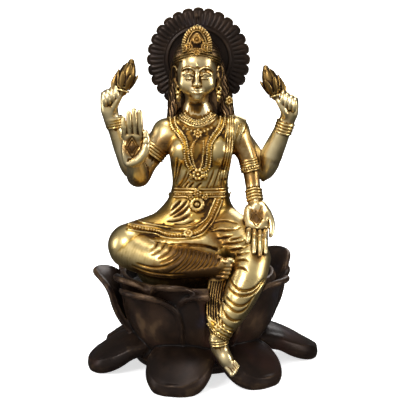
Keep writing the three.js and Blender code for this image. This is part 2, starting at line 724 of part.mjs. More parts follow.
// The halo: a disc about its own centre with scalloped lobes, a rounded rib behind each and a plain middle
function halo() {
  const positions = [];
  const faces = [];
  const swell = [0, 1, 1];
  const spokes = HALO_LOBES * swell.length;
  const section = (crest) => [
    [0.2, -HALO_THICKNESS],
    [HALO_INNER_RADIUS - 1.5, -HALO_THICKNESS],
    [HALO_INNER_RADIUS, -HALO_THICKNESS - HALO_COLLAR],
    [HALO_RADIUS - 3.5, -HALO_THICKNESS + 1 - HALO_RIB_HEIGHT * crest],
    [HALO_RADIUS - HALO_LIP * (1 - crest), -HALO_THICKNESS / 2],
    [HALO_RADIUS - 0.6 - HALO_LIP * (1 - crest), 0],
    [0.2, 0],
  ];
  const length = section(0).length;
  for (let i = 0; i < spokes; i++) {
    const turn = (2 * Math.PI * i) / spokes;
    for (const [radius, depth] of section(swell[i % swell.length])) {
      positions.push(radius * Math.sin(turn), depth, radius * Math.cos(turn));
    }
    const [p, q] = [i * length, ((i + 1) % spokes) * length];
    for (let j = 0; j + 1 < length; j++) faces.push(p + j, q + j, q + j + 1, p + j, q + j + 1, p + j + 1);
    faces.push(spokes * length, q, p, spokes * length + 1, p + length - 1, q + length - 1);
  }
  positions.push(0, -HALO_THICKNESS, 0, 0, 0, 0);
  return solidFrom(positions, faces);
}

// Setting the castings together

const haloCentre = [0.4 * POSE, HALO_BACK, SEAT_TOP + FIGURE_HEIGHT - HALO_DROP];
const haloRoomRadius = HALO_RADIUS + CLEARANCE;
const haloRoomDepth = 4 * HALO_THICKNESS;
const haloFront = -HALO_THICKNESS - HALO_COLLAR;
const haloRoom = solidOf(
  new THREE.CylinderGeometry(haloRoomRadius, haloRoomRadius, haloRoomDepth, 24)
    .translate(0, haloRoomDepth / 2 + haloFront - CLEARANCE, 0)
    .translate(...haloCentre),
);

const part = new THREE.Group();
part.add(casting("figure", figure().translate([0, 0, SEAT_TOP]).subtract(haloRoom), polished));
part.add(casting("lotus_seat", lotus(), patinated));
const disc = casting("halo", halo(), patinated);
disc.position.set(...haloCentre);
part.add(disc);

export default part;
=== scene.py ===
"""A seated four-armed goddess on a lotus, in polished and patinated brass.

The figure and the seat are sculpted as clay: distances to a surface, kept on a grid, that are joined, cut and
then turned into a mesh. The halo is a mesh of its own. All lengths are in millimetres until a mesh is made.
"""

import math
from collections import namedtuple

import bpy
import numpy as np
import openvdb
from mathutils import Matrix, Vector


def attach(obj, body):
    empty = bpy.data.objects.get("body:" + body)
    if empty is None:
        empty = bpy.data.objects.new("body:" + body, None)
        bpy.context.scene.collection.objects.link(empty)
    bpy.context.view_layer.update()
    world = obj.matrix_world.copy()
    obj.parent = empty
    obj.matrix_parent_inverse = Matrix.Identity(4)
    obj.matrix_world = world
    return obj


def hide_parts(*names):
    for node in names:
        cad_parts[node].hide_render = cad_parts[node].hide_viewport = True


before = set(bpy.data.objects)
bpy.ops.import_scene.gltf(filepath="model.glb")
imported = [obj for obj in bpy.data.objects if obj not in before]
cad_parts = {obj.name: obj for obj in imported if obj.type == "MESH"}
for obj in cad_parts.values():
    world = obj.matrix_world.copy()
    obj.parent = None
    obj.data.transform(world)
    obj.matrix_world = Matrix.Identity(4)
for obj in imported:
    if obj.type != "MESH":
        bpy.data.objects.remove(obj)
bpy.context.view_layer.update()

# The sizes that the solids use too
SEAT_TOP = 70
SEAT_RADIUS = 59
SEAT_RIM_HEIGHT = 13
SEAT_RIM_WIDTH = 8
WAIST_RADIUS = 50
WAIST_HEIGHT = 25
FOOT_RADIUS = 34
FOOT_RISE = 7
CUP_PETAL_WIDTH = 58
CUP_PETAL_WALL = 4.5
CUP_PETAL_FLARE = 9
GROUND_PETAL_WIDTH = 52
GROUND_PETAL_WALL = 9
GROUND_PETAL_LIP = 9
HALO_CENTRE = (0.4, 25, 261)
HALO_RADIUS = 44
HALO_THICKNESS = 4
HALO_LOBES = 28
CLEARANCE = 0.35
ROOM = 0.85
MIDDLE = -0.8
HEAD = 183

FIGURE_VOXEL = 0.5
LOTUS_VOXEL = 0.7
FIGURE_TRIANGLES = 190000
LOTUS_TRIANGLES = 150000

# Where the brass is left darker, as [x, y, z, reach, strength] in the figure's own frame: patches of patina,
# and painted shade under and between the legs, over the belt and under the giving hand's fingertips
STAINS_AND_SHADE = [
    [-48, -2, 98, 13, 1.3],
    [-27, -6, 121, 9, 1.1],
    [-50, 8, 107, 9, 0.6],
    [37, -3, 117, 11, 1.0],
    [45, -4, 93, 9, 0.9],
    [50, 8, 106, 9, 0.7],
    [0, -10, 124, 11, 0.5],
    # this row and the next: painted shade below the folded leg's ankle
    [0, -60, 38, 12, 2.2],
    [-4, -62, 29, 19, 3.4],
    [-53.8, -30, 123.5, 6.5, 1.7],
    [48.4, -30, 65.5, 6, 2.2],
    [-30, -50, 19, 14, 1.7],
    [12, -62, 24, 10, 2.0],
    [28, -60, 30, 6, 1.0],
    [-46, -42, 26, 12, 0.5],
    [14, -22, 61, 10, 0.7],
    [16, -34, 46, 9, 0.9],
    [-15, -14, 66, 9, 0.5],
    # painted shade under the lap
    [-12, -38, 8, 24, 1.3],
    [20, -60, 8, 11, 0.6],
    [18, -66, -14, 9, 0.6],
    # this row and the next: painted shade over the belt
    [-12, -13, 80, 14, 0.34],
    [15, -13, 80, 14, 0.34],
    [0, -14, 72, 12, 0.25],
    [-0.5, -12, 112, 12, 0.3],
    [-20, -24, 62, 14, 0.25],
    [-0.8, -13, 206, 15, 0.75],
    [-53, -32, 147, 11, 0.25],
    [46, -46, 54, 11, 0.3],
    # painted shadow under the giving hand's fingertips
    [49, -64, 39.5, 5, 0.9],
]

# What a point of the clay belongs to; the hair's dark tint also marks painted shade between the fingers and
# on the crown plate
CLOTH, GILT, SKIN, HAIR_AND_SHADE, BUD = range(5)


# Curves


def tangents(values, knots):
    """Slopes of a smooth curve through values at uneven knots."""
    slopes = np.diff(values, axis=0) / np.diff(knots)[:, None]
    if len(slopes) == 1:
        return np.repeat(slopes, 2, axis=0)
    gaps = np.diff(knots)[:, None]
    inner = (slopes[:-1] * gaps[1:] + slopes[1:] * gaps[:-1]) / (gaps[1:] + gaps[:-1])
    first = 2 * slopes[:1] - inner[:1]
    last = 2 * slopes[-1:] - inner[-1:]
    return np.concatenate([first, inner, last])


def smooth(at, knots, values):
    """The smooth curve through values at knots, read at other places."""
    knots = np.asarray(knots, float)
    values = np.asarray(values, float)
    slopes = tangents(values, knots)
    at = np.clip(at, knots[0], knots[-1])
    span = np.clip(np.searchsorted(knots, at, "right") - 1, 0, len(knots) - 2)
    width = (knots[span + 1] - knots[span])[:, None]
    t = ((at - knots[span]) / width[:, 0])[:, None]
    near, far = values[span], values[span + 1]
    rise = width * (t ** 3 - 2 * t ** 2 + t) * slopes[span] + width * (t ** 3 - t ** 2) * slopes[span + 1]
    return near * (2 * t ** 3 - 3 * t ** 2 + 1) + far * (3 * t ** 2 - 2 * t ** 3) + rise


def curve(rows, step, dims=3):
    """Rows along a smooth line through rows, about step apart. What follows the place is spaced evenly."""
    rows = np.asarray(rows, float)
    if len(rows) < 2:
        return rows
    lengths = np.linalg.norm(np.diff(rows[:, :dims], axis=0), axis=1)
    knots = np.concatenate([[0], np.cumsum(np.sqrt(np.maximum(lengths, 1e-3)))])
    at = [knots[:1]]
    for i, length in enumerate(lengths):
        count = max(1, int(math.ceil(length / step)))
        at.append(np.linspace(knots[i], knots[i + 1], count + 1)[1:])
    at = np.concatenate(at)
    places = smooth(at, knots, rows[:, :dims])
    rest = [np.interp(at, knots, rows[:, i]) for i in range(dims, rows.shape[1])]
    return np.column_stack([places, *rest])


def shares(line, dims=2):
    """How far along a line each of its rows is, from 0 to 1, and the line's length."""
    steps = np.linalg.norm(np.diff(line[:, :dims], axis=0), axis=1)
    run = np.concatenate([[0], np.cumsum(steps)])
    return run / max(run[-1], 1e-6), run[-1]


def beside(path, distance, step=1.5):
    """A path beside a path of [x, z] rows, on its left hand where distance is positive."""
    line = curve(path, step, 2)
    along = np.gradient(line, axis=0)
    along /= np.linalg.norm(along, axis=1)[:, None]
    return line + distance * np.column_stack([-along[:, 1], along[:, 0]])


def unit(vector):
    vector = np.asarray(vector, float)
    return vector / np.linalg.norm(vector)


# Shapes: lists of pieces, each with its lowest and highest corner and its distance at any point

Piece = namedtuple("Piece", "low high distance")
FRONT = np.array([0.0, -1.0, 0.0])
ASIDE = np.array([1.0, 0.0, 0.0])
UP = np.array([0.0, 0.0, 1.0])


def egg(place, size, turn=None):
    """An egg of half sizes along the world's axes, or along the three rows of turn."""
    place = np.asarray(place, float)
    size = np.asarray(size, float)
    reach = size if turn is None else np.abs(np.asarray(turn)).T @ size

    def distance(x, y, z):
        offsets = [x - place[0], y - place[1], z - place[2]]
        if turn is not None:
            offsets = [sum(row[i] * offsets[i] for i in range(3)) for row in turn]
        near = np.sqrt(sum((o / s) ** 2 for o, s in zip(offsets, size)))
        steep = np.sqrt(sum((o / s ** 2) ** 2 for o, s in zip(offsets, size)))
        return near * (near - 1) / np.maximum(steep, 1e-3)

    return [Piece(place - reach, place + reach, distance)]


def bar(start, end, depth=1.0):
    """A rounded bar between two rows of [x, y, z, radius], flattened along Y where depth is under 1."""
    start, end = np.asarray(start, float), np.asarray(end, float)
    axis = end[:3] - start[:3]
    length2 = max(float(axis @ axis), 1e-9)
    wide = max(start[3], end[3])

    def distance(x, y, z):
        dx, dy, dz = x - start[0], y - start[1], z - start[2]
        share = np.clip((dx * axis[0] + dy * axis[1] + dz * axis[2]) / length2, 0, 1)
        dx, dy, dz = dx - share * axis[0], (dy - share * axis[1]) / depth, dz - share * axis[2]
        gap = np.sqrt(dx * dx + dy * dy + dz * dz) - (start[3] + (end[3] - start[3]) * share)
        return gap * min(1.0, depth)

    return Piece(np.minimum(start[:3], end[:3]) - wide, np.maximum(start[:3], end[:3]) + wide, distance)


def chain(rows, depth=1.0):
    """Bars from row to row."""
    return [bar(a, b, depth) for a, b in zip(rows[:-1], rows[1:])]


def tube(rows, step=2.5, depth=1.0, grow=0.0):
    """A smooth round limb through rows of [x, y, z, radius]."""
    line = curve(rows, step)
    line[:, 3] += grow
    return chain(line, depth)


def ring(centre, axis, radius, wire):
    """A round ring about an axis."""
    centre, axis = np.asarray(centre, float), unit(axis)

    def distance(x, y, z):
        dx, dy, dz = x - centre[0], y - centre[1], z - centre[2]
        along = dx * axis[0] + dy * axis[1] + dz * axis[2]
        out = np.sqrt(np.maximum(dx * dx + dy * dy + dz * dz - along * along, 0)) - radius
        return np.sqrt(out * out + along * along) - wire

    reach = radius + wire
    return [Piece(centre - reach, centre + reach, distance)]


def around(centre, axis, radius, count, start=0.0):
    """Places spaced evenly on a circle about an axis."""
    axis = unit(axis)
    side = unit(np.cross(axis, UP if abs(axis[2]) < 0.9 else ASIDE))
    other = np.cross(axis, side)
    turns = start + 2 * math.pi * np.arange(count) / count
    spokes = np.cos(turns)[:, None] * side + np.sin(turns)[:, None] * other
    return np.asarray(centre, float) + radius * spokes


def stack(rows, power=2.6):
    """Flattened ovals from row to row of [z, middle x, middle y, half width, half depth]."""
    rows = np.asarray(rows, float)
    knots = rows[:, 0]

    def distance(x, y, z):
        level = smooth(z.ravel(), knots, rows[:, 1:]).astype(np.float32)
        mx, my, wide, deep = [level[:, i][None, None, :] for i in range(4)]
        dx, dy = np.abs(x - mx), np.abs(y - my)
        reach = ((dx / wide) ** power + (dy / deep) ** power) ** (1 / power)
        gap = np.sqrt(dx * dx + dy * dy) * (1 - 1 / np.maximum(reach, 0.05))
        return np.maximum(0.95 * gap, np.maximum(knots[0] - z, z - knots[-1]))

    low = [(rows[:, 1] - rows[:, 3]).min(), (rows[:, 2] - rows[:, 4]).min(), knots[0]]
    high = [(rows[:, 1] + rows[:, 3]).max(), (rows[:, 2] + rows[:, 4]).max(), knots[-1]]
    return [Piece(np.array(low), np.array(high), distance)]


def lathe(profile, grow=0.0):
    """A solid of revolution about Z, from its closed profile of [radius, z] corners."""
    profile = np.asarray(profile, float)
    step, margin = 0.25, 12
    reach = profile[:, 0].max() + margin
    low, high = profile[:, 1].min() - margin, profile[:, 1].max() + margin
    radii = np.arange(0, reach + step, step)
    levels = np.arange(low, high + step, step)
    r, z = np.meshgrid(radii, levels, indexing="ij")
    table = np.full(r.shape, np.inf)
    inside = np.zeros(r.shape, bool)
    for (r0, z0), (r1, z1) in zip(profile, np.roll(profile, -1, axis=0)):
        run, rise = r1 - r0, z1 - z0
        share = np.clip(((r - r0) * run + (z - z0) * rise) / (run * run + rise * rise), 0, 1)
        if max(r0, r1) > 0:
            table = np.minimum(table, np.hypot(r - r0 - share * run, z - z0 - share * rise))
        if rise:
            crosses = (z < z0) != (z < z1)
            inside ^= crosses & (r < r0 + (z - z0) / rise * run)
    table = np.where(inside, -table, table) - grow

    def distance(x, y, z):
        out = np.sqrt(x * x + y * y)[:, :, 0]
        found = np.empty(out.shape + (z.size,), np.float32)
        for k, level in enumerate(z.ravel()):
            row = int(np.clip(round((level - low) / step), 0, len(levels) - 1))
            found[:, :, k] = np.interp(out, radii, table[:, row])
        return found

    wide = profile[:, 0].max() + grow
    low_corner = np.array([-wide, -wide, profile[:, 1].min() - grow])
    high_corner = np.array([wide, wide, profile[:, 1].max() + grow])
    return [Piece(low_corner, high_corner, distance)]


# The clay

FAR = 40.0
EDGE = 1.6


def soft_min(a, b, blend):
    if blend <= 0:
        return np.minimum(a, b)
    share = np.clip(0.5 + 0.5 * (b - a) / blend, 0, 1)
    return b + (a - b) * share - blend * share * (1 - share)


class Clay:
    """A solid kept as distances to its surface on a grid, with what each point belongs to."""

    def __init__(self, low, high, voxel):
        self.low = np.array(low, float)
        self.voxel = voxel
        counts = [int(round((b - a) / voxel)) + 1 for a, b in zip(low, high)]
        self.field = np.full(counts, FAR, np.float32)
        self.tints = np.zeros(counts, np.uint8)
        self.axes = [(a + voxel * np.arange(n)).astype(np.float32) for a, n in zip(low, counts)]

    def window(self, low, high):
        slices = []
        for axis, (a, b) in enumerate(zip(low, high)):
            count = len(self.axes[axis])
            first = int(math.floor((a - self.low[axis]) / self.voxel))
            last = int(math.ceil((b - self.low[axis]) / self.voxel)) + 1
            slices.append(slice(min(max(first, 0), count), min(max(last, 0), count)))
        return slices

    def measure(self, shape, margin):
        low = np.min([piece.low for piece in shape], axis=0) - margin
        high = np.max([piece.high for piece in shape], axis=0) + margin
        slices = self.window(low, high)
        near = np.full([s.stop - s.start for s in slices], FAR, np.float32)
        for piece in shape:
            inner = self.window(piece.low - margin, piece.high + margin)
            if any(s.stop <= s.start for s in inner):
                continue
            x, y, z = [self.axes[i][inner[i]] for i in range(3)]
            part = near[tuple(slice(i.start - s.start, i.stop - s.start) for i, s in zip(inner, slices))]
            found = piece.distance(x[:, None, None], y[None, :, None], z[None, None, :])
            np.minimum(part, found, out=part)
        return tuple(slices), near

    def add(self, shape, blend=0.0, tint=None):
        slices, near = self.measure(shape, blend / 2 + EDGE)
        old = self.field[slices]
        if tint is not None:
            self.tints[slices][near < np.minimum(old, EDGE)] = tint
        self.field[slices] = soft_min(old, near, blend)

    def cut(self, shape, blend=0.0):
        slices, near = self.measure(shape, blend / 2 + EDGE)
        self.field[slices] = -soft_min(-self.field[slices], near, blend)

    def paint(self, shape, tint, reach=0.0):
        slices, near = self.measure(shape, reach + EDGE)
        self.tints[slices][near < reach] = tint

    def read(self, points):
        """The distances at points, from the nearest grid points."""
        at = np.rint((np.asarray(points) - self.low) / self.voxel).astype(int)
        at = np.clip(at, 1, np.array(self.field.shape) - 2)
        return at, self.field[at[:, 0], at[:, 1], at[:, 2]]

    def normals(self, points, reach=2):
        """Directions away from the clay at points on its surface."""
        points = np.asarray(points, float)
        slopes = []
        for axis in range(3):
            step = np.zeros(3)
            step[axis] = reach * self.voxel
            slopes.append(self.read(points + step)[1] - self.read(points - step)[1])
        slopes = np.column_stack(slopes)
        return slopes / np.maximum(np.linalg.norm(slopes, axis=1), 1e-6)[:, None]

    def eggs(self, rows, tint=None):
        """Eggs added one after the other: rows of place, half sizes and blend."""
        for place, size, blend in rows:
            self.add(egg(place, size), blend, tint)

    def touch(self, path, sign=-1):
        """The first clay met under [x, z] places, seen from the front, or from behind where sign is 1."""
        path = np.asarray(path, float)[:, :2]
        spots = (path - self.low[[0, 2]]) / self.voxel
        base = np.floor(spots).astype(int)
        share = spots - base
        rows = np.arange(len(path))
        total, weight = np.zeros((2, len(path)))
        for du, dv in ((0, 0), (0, 1), (1, 0), (1, 1)):
            u = np.clip(base[:, 0] + du, 0, self.field.shape[0] - 1)
            v = np.clip(base[:, 1] + dv, 0, self.field.shape[2] - 1)
            columns = self.field[u, :, v][:, ::-sign]
            inside = columns < 0
            first = np.maximum(inside.argmax(axis=1), 1)
            before, after = columns[rows, first - 1], columns[rows, first]
            depth = first - 1 + before / np.maximum(before - after, 1e-6)
            if sign > 0:
                depth = columns.shape[1] - 1 - depth
            near = np.abs(1 - du - share[:, 0]) * np.abs(1 - dv - share[:, 1]) * inside.any(axis=1)
            total += near * depth
            weight += near
        depth = self.low[1] + self.voxel * total / np.maximum(weight, 1e-6)
        return np.insert(path, 1, depth, axis=1)[weight > 0.2]

    def draped(self, path, step=1.0, sign=-1):
        """A line laid on the clay under a path and evened out, and its directions away from the clay."""
        points = self.touch(curve(path, step, 2), sign)
        for _ in range(2):
            inner = (points[:-2] + 2 * points[1:-1] + points[2:]) / 4
            points = np.concatenate([points[:1], inner, points[-1:]])
        return points, self.normals(points)

    def groove(self, path, width, depth, taper=0.1, blend=0.5, sign=-1):
        """A fold sunk along a path: width at its middle, as deep as depth, running out at its ends."""
        points, away = self.draped(path, 1.2, sign)
        if len(points) < 3:
            return
        radius = ((width / 2) ** 2 + depth ** 2) / (2 * depth)
        share, _ = shares(points, 3)
        deep = depth * (taper + (1 - taper) * np.sin(math.pi * share) ** 0.7)
        centres = points + away * (radius - deep)[:, None]
        self.cut(chain(np.column_stack([centres, np.full(len(centres), radius)])), blend)

    def grooves(self, paths, width, depth, taper=0.1, blend=0.5, sign=-1):
        for path in paths:
            self.groove(path, width, depth, taper, blend, sign)

    def cord(self, path, radius, taper=1.0, proud=0.3, tint=GILT, blend=0.3, sign=-1, depth=1.0):
        """A raised cord laid along a path."""
        points, away = self.draped(path, 1.0, sign)
        if len(points) < 3:
            return
        share, _ = shares(points, 3)
        swell = radius * (taper + (1 - taper) * np.sin(math.pi * share) ** 0.5)
        centres = points + away * (proud * swell)[:, None]
        self.add(chain(np.column_stack([centres, swell]), depth), blend, tint)

    def beads(self, path, radius, gap=0.15, proud=0.25, sign=-1, end_radius=None):
        """Beads strung along a path."""
        points, away = self.draped(path, 0.5, sign)
        if len(points) < 3:
            return
        share, length = shares(points, 3)
        end_radius = end_radius or radius
        pitch = (radius + end_radius) * (1 + gap)
        shape = []
        for at in np.linspace(0, 1, max(2, int(round(length / pitch)) + 1)):
            size = radius + (end_radius - radius) * at
            place = [np.interp(at, share, points[:, i] + proud * size * away[:, i]) for i in range(3)]
            shape += egg(place, (size, size, size))
        self.add(shape, 0.2, GILT)

    def flower(self, x, z, radius, petals, height):
        """A flower on the surface: a low disc, a ring of petals and a boss."""
        middle = self.touch([[x, z]])
        if not len(middle):
            return
        away = self.normals(middle, 5)[0]
        middle = middle[0]
        side = unit(np.cross(away, UP))
        turn = [side, np.cross(away, side), away]
        shape = egg(middle, (0.72 * radius, 0.72 * radius, height), turn)
        for place in around(middle + away * 0.25 * height, away, 0.66 * radius, petals, 0.4):
            shape += egg(place, (0.3 * radius, 0.3 * radius, 0.9 * height), turn)
        self.add(shape, 0.3, GILT)
        self.cut(ring(middle + away * 1.1 * height, away, 0.36 * radius, 0.12 * radius + 0.25), 0.2)
        self.add(egg(middle + away * height, [0.24 * radius] * 2 + [0.6 * height], turn), 0.2, GILT)

    def crowding(self, cell, radius):
        """How much clay there is around each place, as a coarse grid of shares."""
        every = max(1, int(round(cell / self.voxel)))
        full = (self.field[::every, ::every, ::every] < 0).astype(np.float32)
        reach = max(1, int(round(radius / (every * self.voxel))))
        for axis in range(3):
            pad = [(0, 0)] * 3
            pad[axis] = (reach + 1, reach)
            run = np.cumsum(np.pad(full, pad), axis=axis, dtype=np.float32)
            count = run.shape[axis]
            upper = np.take(run, range(2 * reach + 1, count), axis=axis)
            lower = np.take(run, range(0, count - 2 * reach - 1), axis=axis)
            full = (upper - lower) / (2 * reach + 1)
        return full, every * self.voxel

    def mesh(self, name, lift, triangles):
        """The clay as a Blender object, raised by lift, with how deep and how worn each point is, and the
        painted shade and stains that the brass reads.
        """
        band = 3 * self.voxel
        grid = openvdb.FloatGrid(band)
        grid.copyFromArray(np.clip(self.field, -band, band))
        points, _, quads = grid.convertToPolygons(isovalue=0.0, adaptivity=0.0)
        fine = bpy.data.meshes.new(name + "_fine")
        fill_mesh(fine, points * self.voxel + self.low, outward(points, quads))
        keep_biggest(fine)
        piece = placed(name, fine)
        slim = piece.modifiers.new("slim", "DECIMATE")
        slim.ratio = min(1.0, triangles / (2 * len(fine.polygons)))
        slim.use_collapse_triangulate = True
        mesh = bpy.data.meshes.new_from_object(piece.evaluated_get(bpy.context.evaluated_depsgraph_get()))
        piece.modifiers.clear()
        piece.data = mesh
        mesh.name = name
        bpy.data.meshes.remove(fine)
        self.colour(mesh)
        places = column(mesh.vertices, "co", 3).astype(float)
        mesh.vertices.foreach_set("co", ((places + [0, 0, lift]) / 1000).astype(np.float32).ravel())
        shade_smooth(mesh)
        mesh.update()
        return piece

    def colour(self, mesh):
        """What the material reads at each point of the mesh."""
        places, ends, away = store_relief(mesh)
        # how much clay lies around each point, which the brass darkens as painted shade
        for key, cell, radius in (("crowd", 1.0, 2.5), ("shade", 2.0, 7.0)):
            full, size = self.crowding(cell, radius)
            store(mesh, key, nearest(full, places + away * 0.3 * radius - self.low, size))
        tints = nearest(self.tints, places - away * 0.8 * self.voxel - self.low, self.voxel)
        for key, tint in (("gilt", GILT), ("skin", SKIN), ("hair_and_shade", HAIR_AND_SHADE), ("bud", BUD)):
            store(mesh, key, evened((tints == tint).astype(float)[:, None], ends, 2)[:, 0])
        # stains of the patina, and painted shade where the stains table puts it
        stain_and_shade = np.zeros(len(places))
        for x, y, z, reach, strength in STAINS_AND_SHADE:
            far = ((places - [x, y, z]) ** 2).sum(axis=1) / reach ** 2
            stain_and_shade = np.maximum(stain_and_shade, strength * np.exp(-far))
        store(mesh, "stain_and_shade", stain_and_shade)


# Meshes


def column(things, key, width, kind=np.float32):
    """What each thing of a mesh says under key, as rows of numbers."""
    values = np.empty(width * len(things), kind)
    things.foreach_get(key, values)
    return values.reshape(-1, width)


def nearest(grid, offsets, cell):
    """A grid's values at the cells nearest to offsets from its corner."""
    at = np.rint(offsets / cell).astype(int)
    return grid[tuple(np.clip(at, 0, np.array(grid.shape) - 1).T)]


def evened(values, ends, times):
    """Values on a mesh's points, averaged with their neighbours a few times."""
    count = len(values)
    touching = np.bincount(ends.ravel(), minlength=count)[:, None] + 1
    for _ in range(times):
        total = values.copy()
        for i in range(values.shape[1]):
            for near, far in (ends.T, ends.T[::-1]):
                total[:, i] += np.bincount(near, values[far, i], minlength=count)
        values = total / touching
    return values


def store(mesh, key, values):
    attribute = mesh.attributes.new(key, "FLOAT", "POINT")
    attribute.data.foreach_set("value", np.asarray(values, np.float32))


def store_relief(mesh, scale=1.0):
    """Keeps how far each point is sunk: below its near surroundings as fine, below wider ones as broad."""
    places = column(mesh.vertices, "co", 3).astype(float) * scale
    ends = column(mesh.edges, "vertices", 2, np.int32)
    away = column(mesh.vertex_normals, "vector", 3)
    for key, times in (("fine", 3), ("broad", 16)):
        store(mesh, key, ((evened(places, ends, times) - places) * away).sum(axis=1))
    return places, ends, away


def outward(points, faces):
    """Faces turned to look out of the closed form that they make."""
    a, b, c = [points[faces[:, i]] for i in range(3)]
    return faces[:, ::-1] if np.einsum("ij,ij->", a, np.cross(b, c)) < 0 else faces


def fill_mesh(mesh, points, faces):
    """Faces of one size, given as rows of point numbers."""
    mesh.vertices.add(len(points))
    mesh.vertices.foreach_set("co", np.asarray(points, np.float32).ravel())
    mesh.loops.add(faces.size)
    mesh.loops.foreach_set("vertex_index", np.asarray(faces, np.int32).ravel())
    mesh.polygons.add(len(faces))
    mesh.polygons.foreach_set("loop_start", np.arange(0, faces.size, faces.shape[1], dtype=np.int32))
    mesh.update(calc_edges=True)


def shade_smooth(mesh):
    mesh.polygons.foreach_set("use_smooth", np.ones(len(mesh.polygons), bool))


def keep_biggest(mesh):
    """Removes crumbs and sealed hollows: every part of the mesh but the one with the most points."""
    ends = column(mesh.edges, "vertices", 2, np.int32)
    new, label = np.arange(len(mesh.vertices)), None
    while not np.array_equal(new, label):
        label = new.copy()
        low = np.minimum(label[ends[:, 0]], label[ends[:, 1]])
        for end in ends.T:
            np.minimum.at(new, end, low)
        new = new[new][new[new]]
    names, counts = np.unique(label, return_counts=True)
    if len(names) == 1:
        return
    keep = label == names[counts.argmax()]
    faces = column(mesh.loops, "vertex_index", 1, np.int32).reshape(len(mesh.polygons), -1)
    faces = (np.cumsum(keep) - 1)[faces[keep[faces[:, 0]]]]
    points = column(mesh.vertices, "co", 3)[keep]
    mesh.clear_geometry()
    fill_mesh(mesh, points, faces)


def placed(name, data):
    """A new object in the scene."""
    thing = bpy.data.objects.new(name, data)
    bpy.context.scene.collection.objects.link(thing)
    return thing


# The figure, in a frame with its zero at the seat's top

TORSO = [
    [40, -3, 2, 36, 23],
    [52, -3, 3, 39, 23],
    [63, -1.5, 5, 32.5, 20],
    [74, 0.8, 5, 26.5, 17],
    [86, 1.7, 4.5, 23.8, 15.2],
    [103, 2.2, 3, 25.3, 15.7],
    [120, 2.5, 2.5, 28, 15.5],
    [133, 2.3, 4.5, 31, 13.5],
    [140, 2, 6, 25, 10],
    [146, 0.5, 6, 11.5, 7],
]
NECK = [
    [136, 1.2, 5, 21, 12],
    [141, 0.6, 4.8, 17, 11.8],
    [147, 0, 4.4, 14, 11.2],
    [153, -0.4, 4, 12, 10.7],
    [158, -0.8, 3.4, 10.2, 10],
    [171, -0.8, 3, 10.4, 10],
]
THIGH_FOLDED = [[-20, 2, 48, 19], [-38, -9, 43.5, 18.5], [-57, -22, 39.5, 18.5]]
SHIN_FOLDED = [[-57.5, -23, 37.5, 17.3], [-34, -40, 31.5, 14.8], [-9, -51, 30.5, 12.2], [11, -56, 31, 9.6]]
THIGH_HANGING = [[20, 2, 50, 18.5], [33, -22, 46, 17], [44, -45, 36.5, 14.5]]
SHIN_HANGING = [
    [45, -50, 35, 14.3],
    [41, -57, 22, 14.8],
    [35, -63, 8.5, 13.6],
    [28.5, -67, -4.5, 11.4],
    [21.5, -69, -17, 8.8],
    [17, -69, -26, 7.4],
]
FOOT_HANGING = [
    [16.5, -68.5, -28, 7.2],
    [18.5, -69, -36, 6.7],
    [22.6, -71, -43.6, 5.8],
    [26.4, -73, -48.4, 4.4],
]
TOES_HANGING = [[27.5, -74, -49, 4.6], [32, -77, -54.5, 5]]
SASH = [[16, -57, 18, 7], [13.5, -62, 2, 7], [14, -67, -12, 6.6], [16.5, -70, -22, 6.4]]
FRONT_ARM_LEFT = [
    [-24, 4, 131, 11],
    [-33, 1.5, 121, 10.6],
    [-38, 0.5, 114, 10],
    [-44.5, -1.2, 105.5, 9.8],
    [-50, -3, 95.5, 10],
    [-51, -15, 102, 8.4],
    [-52, -23, 114, 6.6],
]
REAR_ARM_LEFT = [
    [-25, 8, 131, 10.5],
    [-44, 11, 113, 9],
    [-55, 12, 99, 9.4],
    [-63, 9, 117, 8.8],
    [-68, 6, 130, 7],
    [-70.8, 4.6, 138, 6.2],
]
FRONT_ARM_RIGHT = [
    [27, 4, 132, 11],
    [35, 2, 124, 10],
    [41.7, 0.7, 109.5, 7.6],
    [44.8, -0.5, 98.5, 6.9],
    [46.5, -5, 85.5, 6.2],
    [48, -11, 75, 6.2],
    [48.3, -14, 68, 5],
]
REAR_ARM_RIGHT = [
    [28, 8, 132, 11],
    [46, 12, 112, 8.5],
    [57.3, 13, 97, 7.2],
    [62.5, 9.5, 111, 9.6],
    [70, 5, 129.5, 7.6],
    [73.8, 2.8, 139.5, 6.2],
]


# The rounded masses of the body: each one's place, half sizes and how softly it joins
BODY_MASSES = [
    ((-4, 2, 20), (52, 32, 28), 4),
    ((-14, -16, 14), (36, 24, 17), 8),
    ((-8, -22, 36), (38, 24, 20), 8),
    ((-12.5, -7.5, 117), (12, 9, 11.5), 4),
    ((15.5, -7.5, 117), (12, 9, 11.5), 4),
    ((1.7, -6.5, 95), (14, 7.5, 13), 8),
    ((-27, 4, 131), (12, 11, 12), 7),
    ((32, 3, 131), (12, 11, 13.5), 7),
]


def hanging_leg(grow=0.0):
    """The hanging leg, its foot and the sash beside it."""
    limbs = ((THIGH_HANGING, 1), (SHIN_HANGING, 1), (FOOT_HANGING, 1), (TOES_HANGING, 0.55), (SASH, 0.6))
    return sum((tube(rows, depth=depth, grow=grow) for rows, depth in limbs), [])


def sculpt_body(clay):
    clay.add(stack(TORSO))
    clay.add(stack(NECK, 2), 4, SKIN)
    clay.eggs(BODY_MASSES)
    clay.add(tube(THIGH_FOLDED) + tube(SHIN_FOLDED), 5)
    clay.add(tube(THIGH_HANGING) + tube(SHIN_HANGING), 5)


def sculpt_sash(clay):
    clay.add(tube(SASH, depth=0.6), 1, BUD)
    for i in range(6):
        path = [[x + 2.1 * (i - 2.5), z] for x, _, z, _ in SASH]
        clay.groove(path, 1.6, 1.1, taper=0.6)


# The toes of the hanging foot: place across the foot, length and radius, from the big toe on
TOES = [(-3.2, 5.2, 2.0), (-0.4, 5.8, 1.25), (1.6, 5.2, 1.2), (3.5, 4.3, 1.1), (5.2, 3.2, 1.0)]


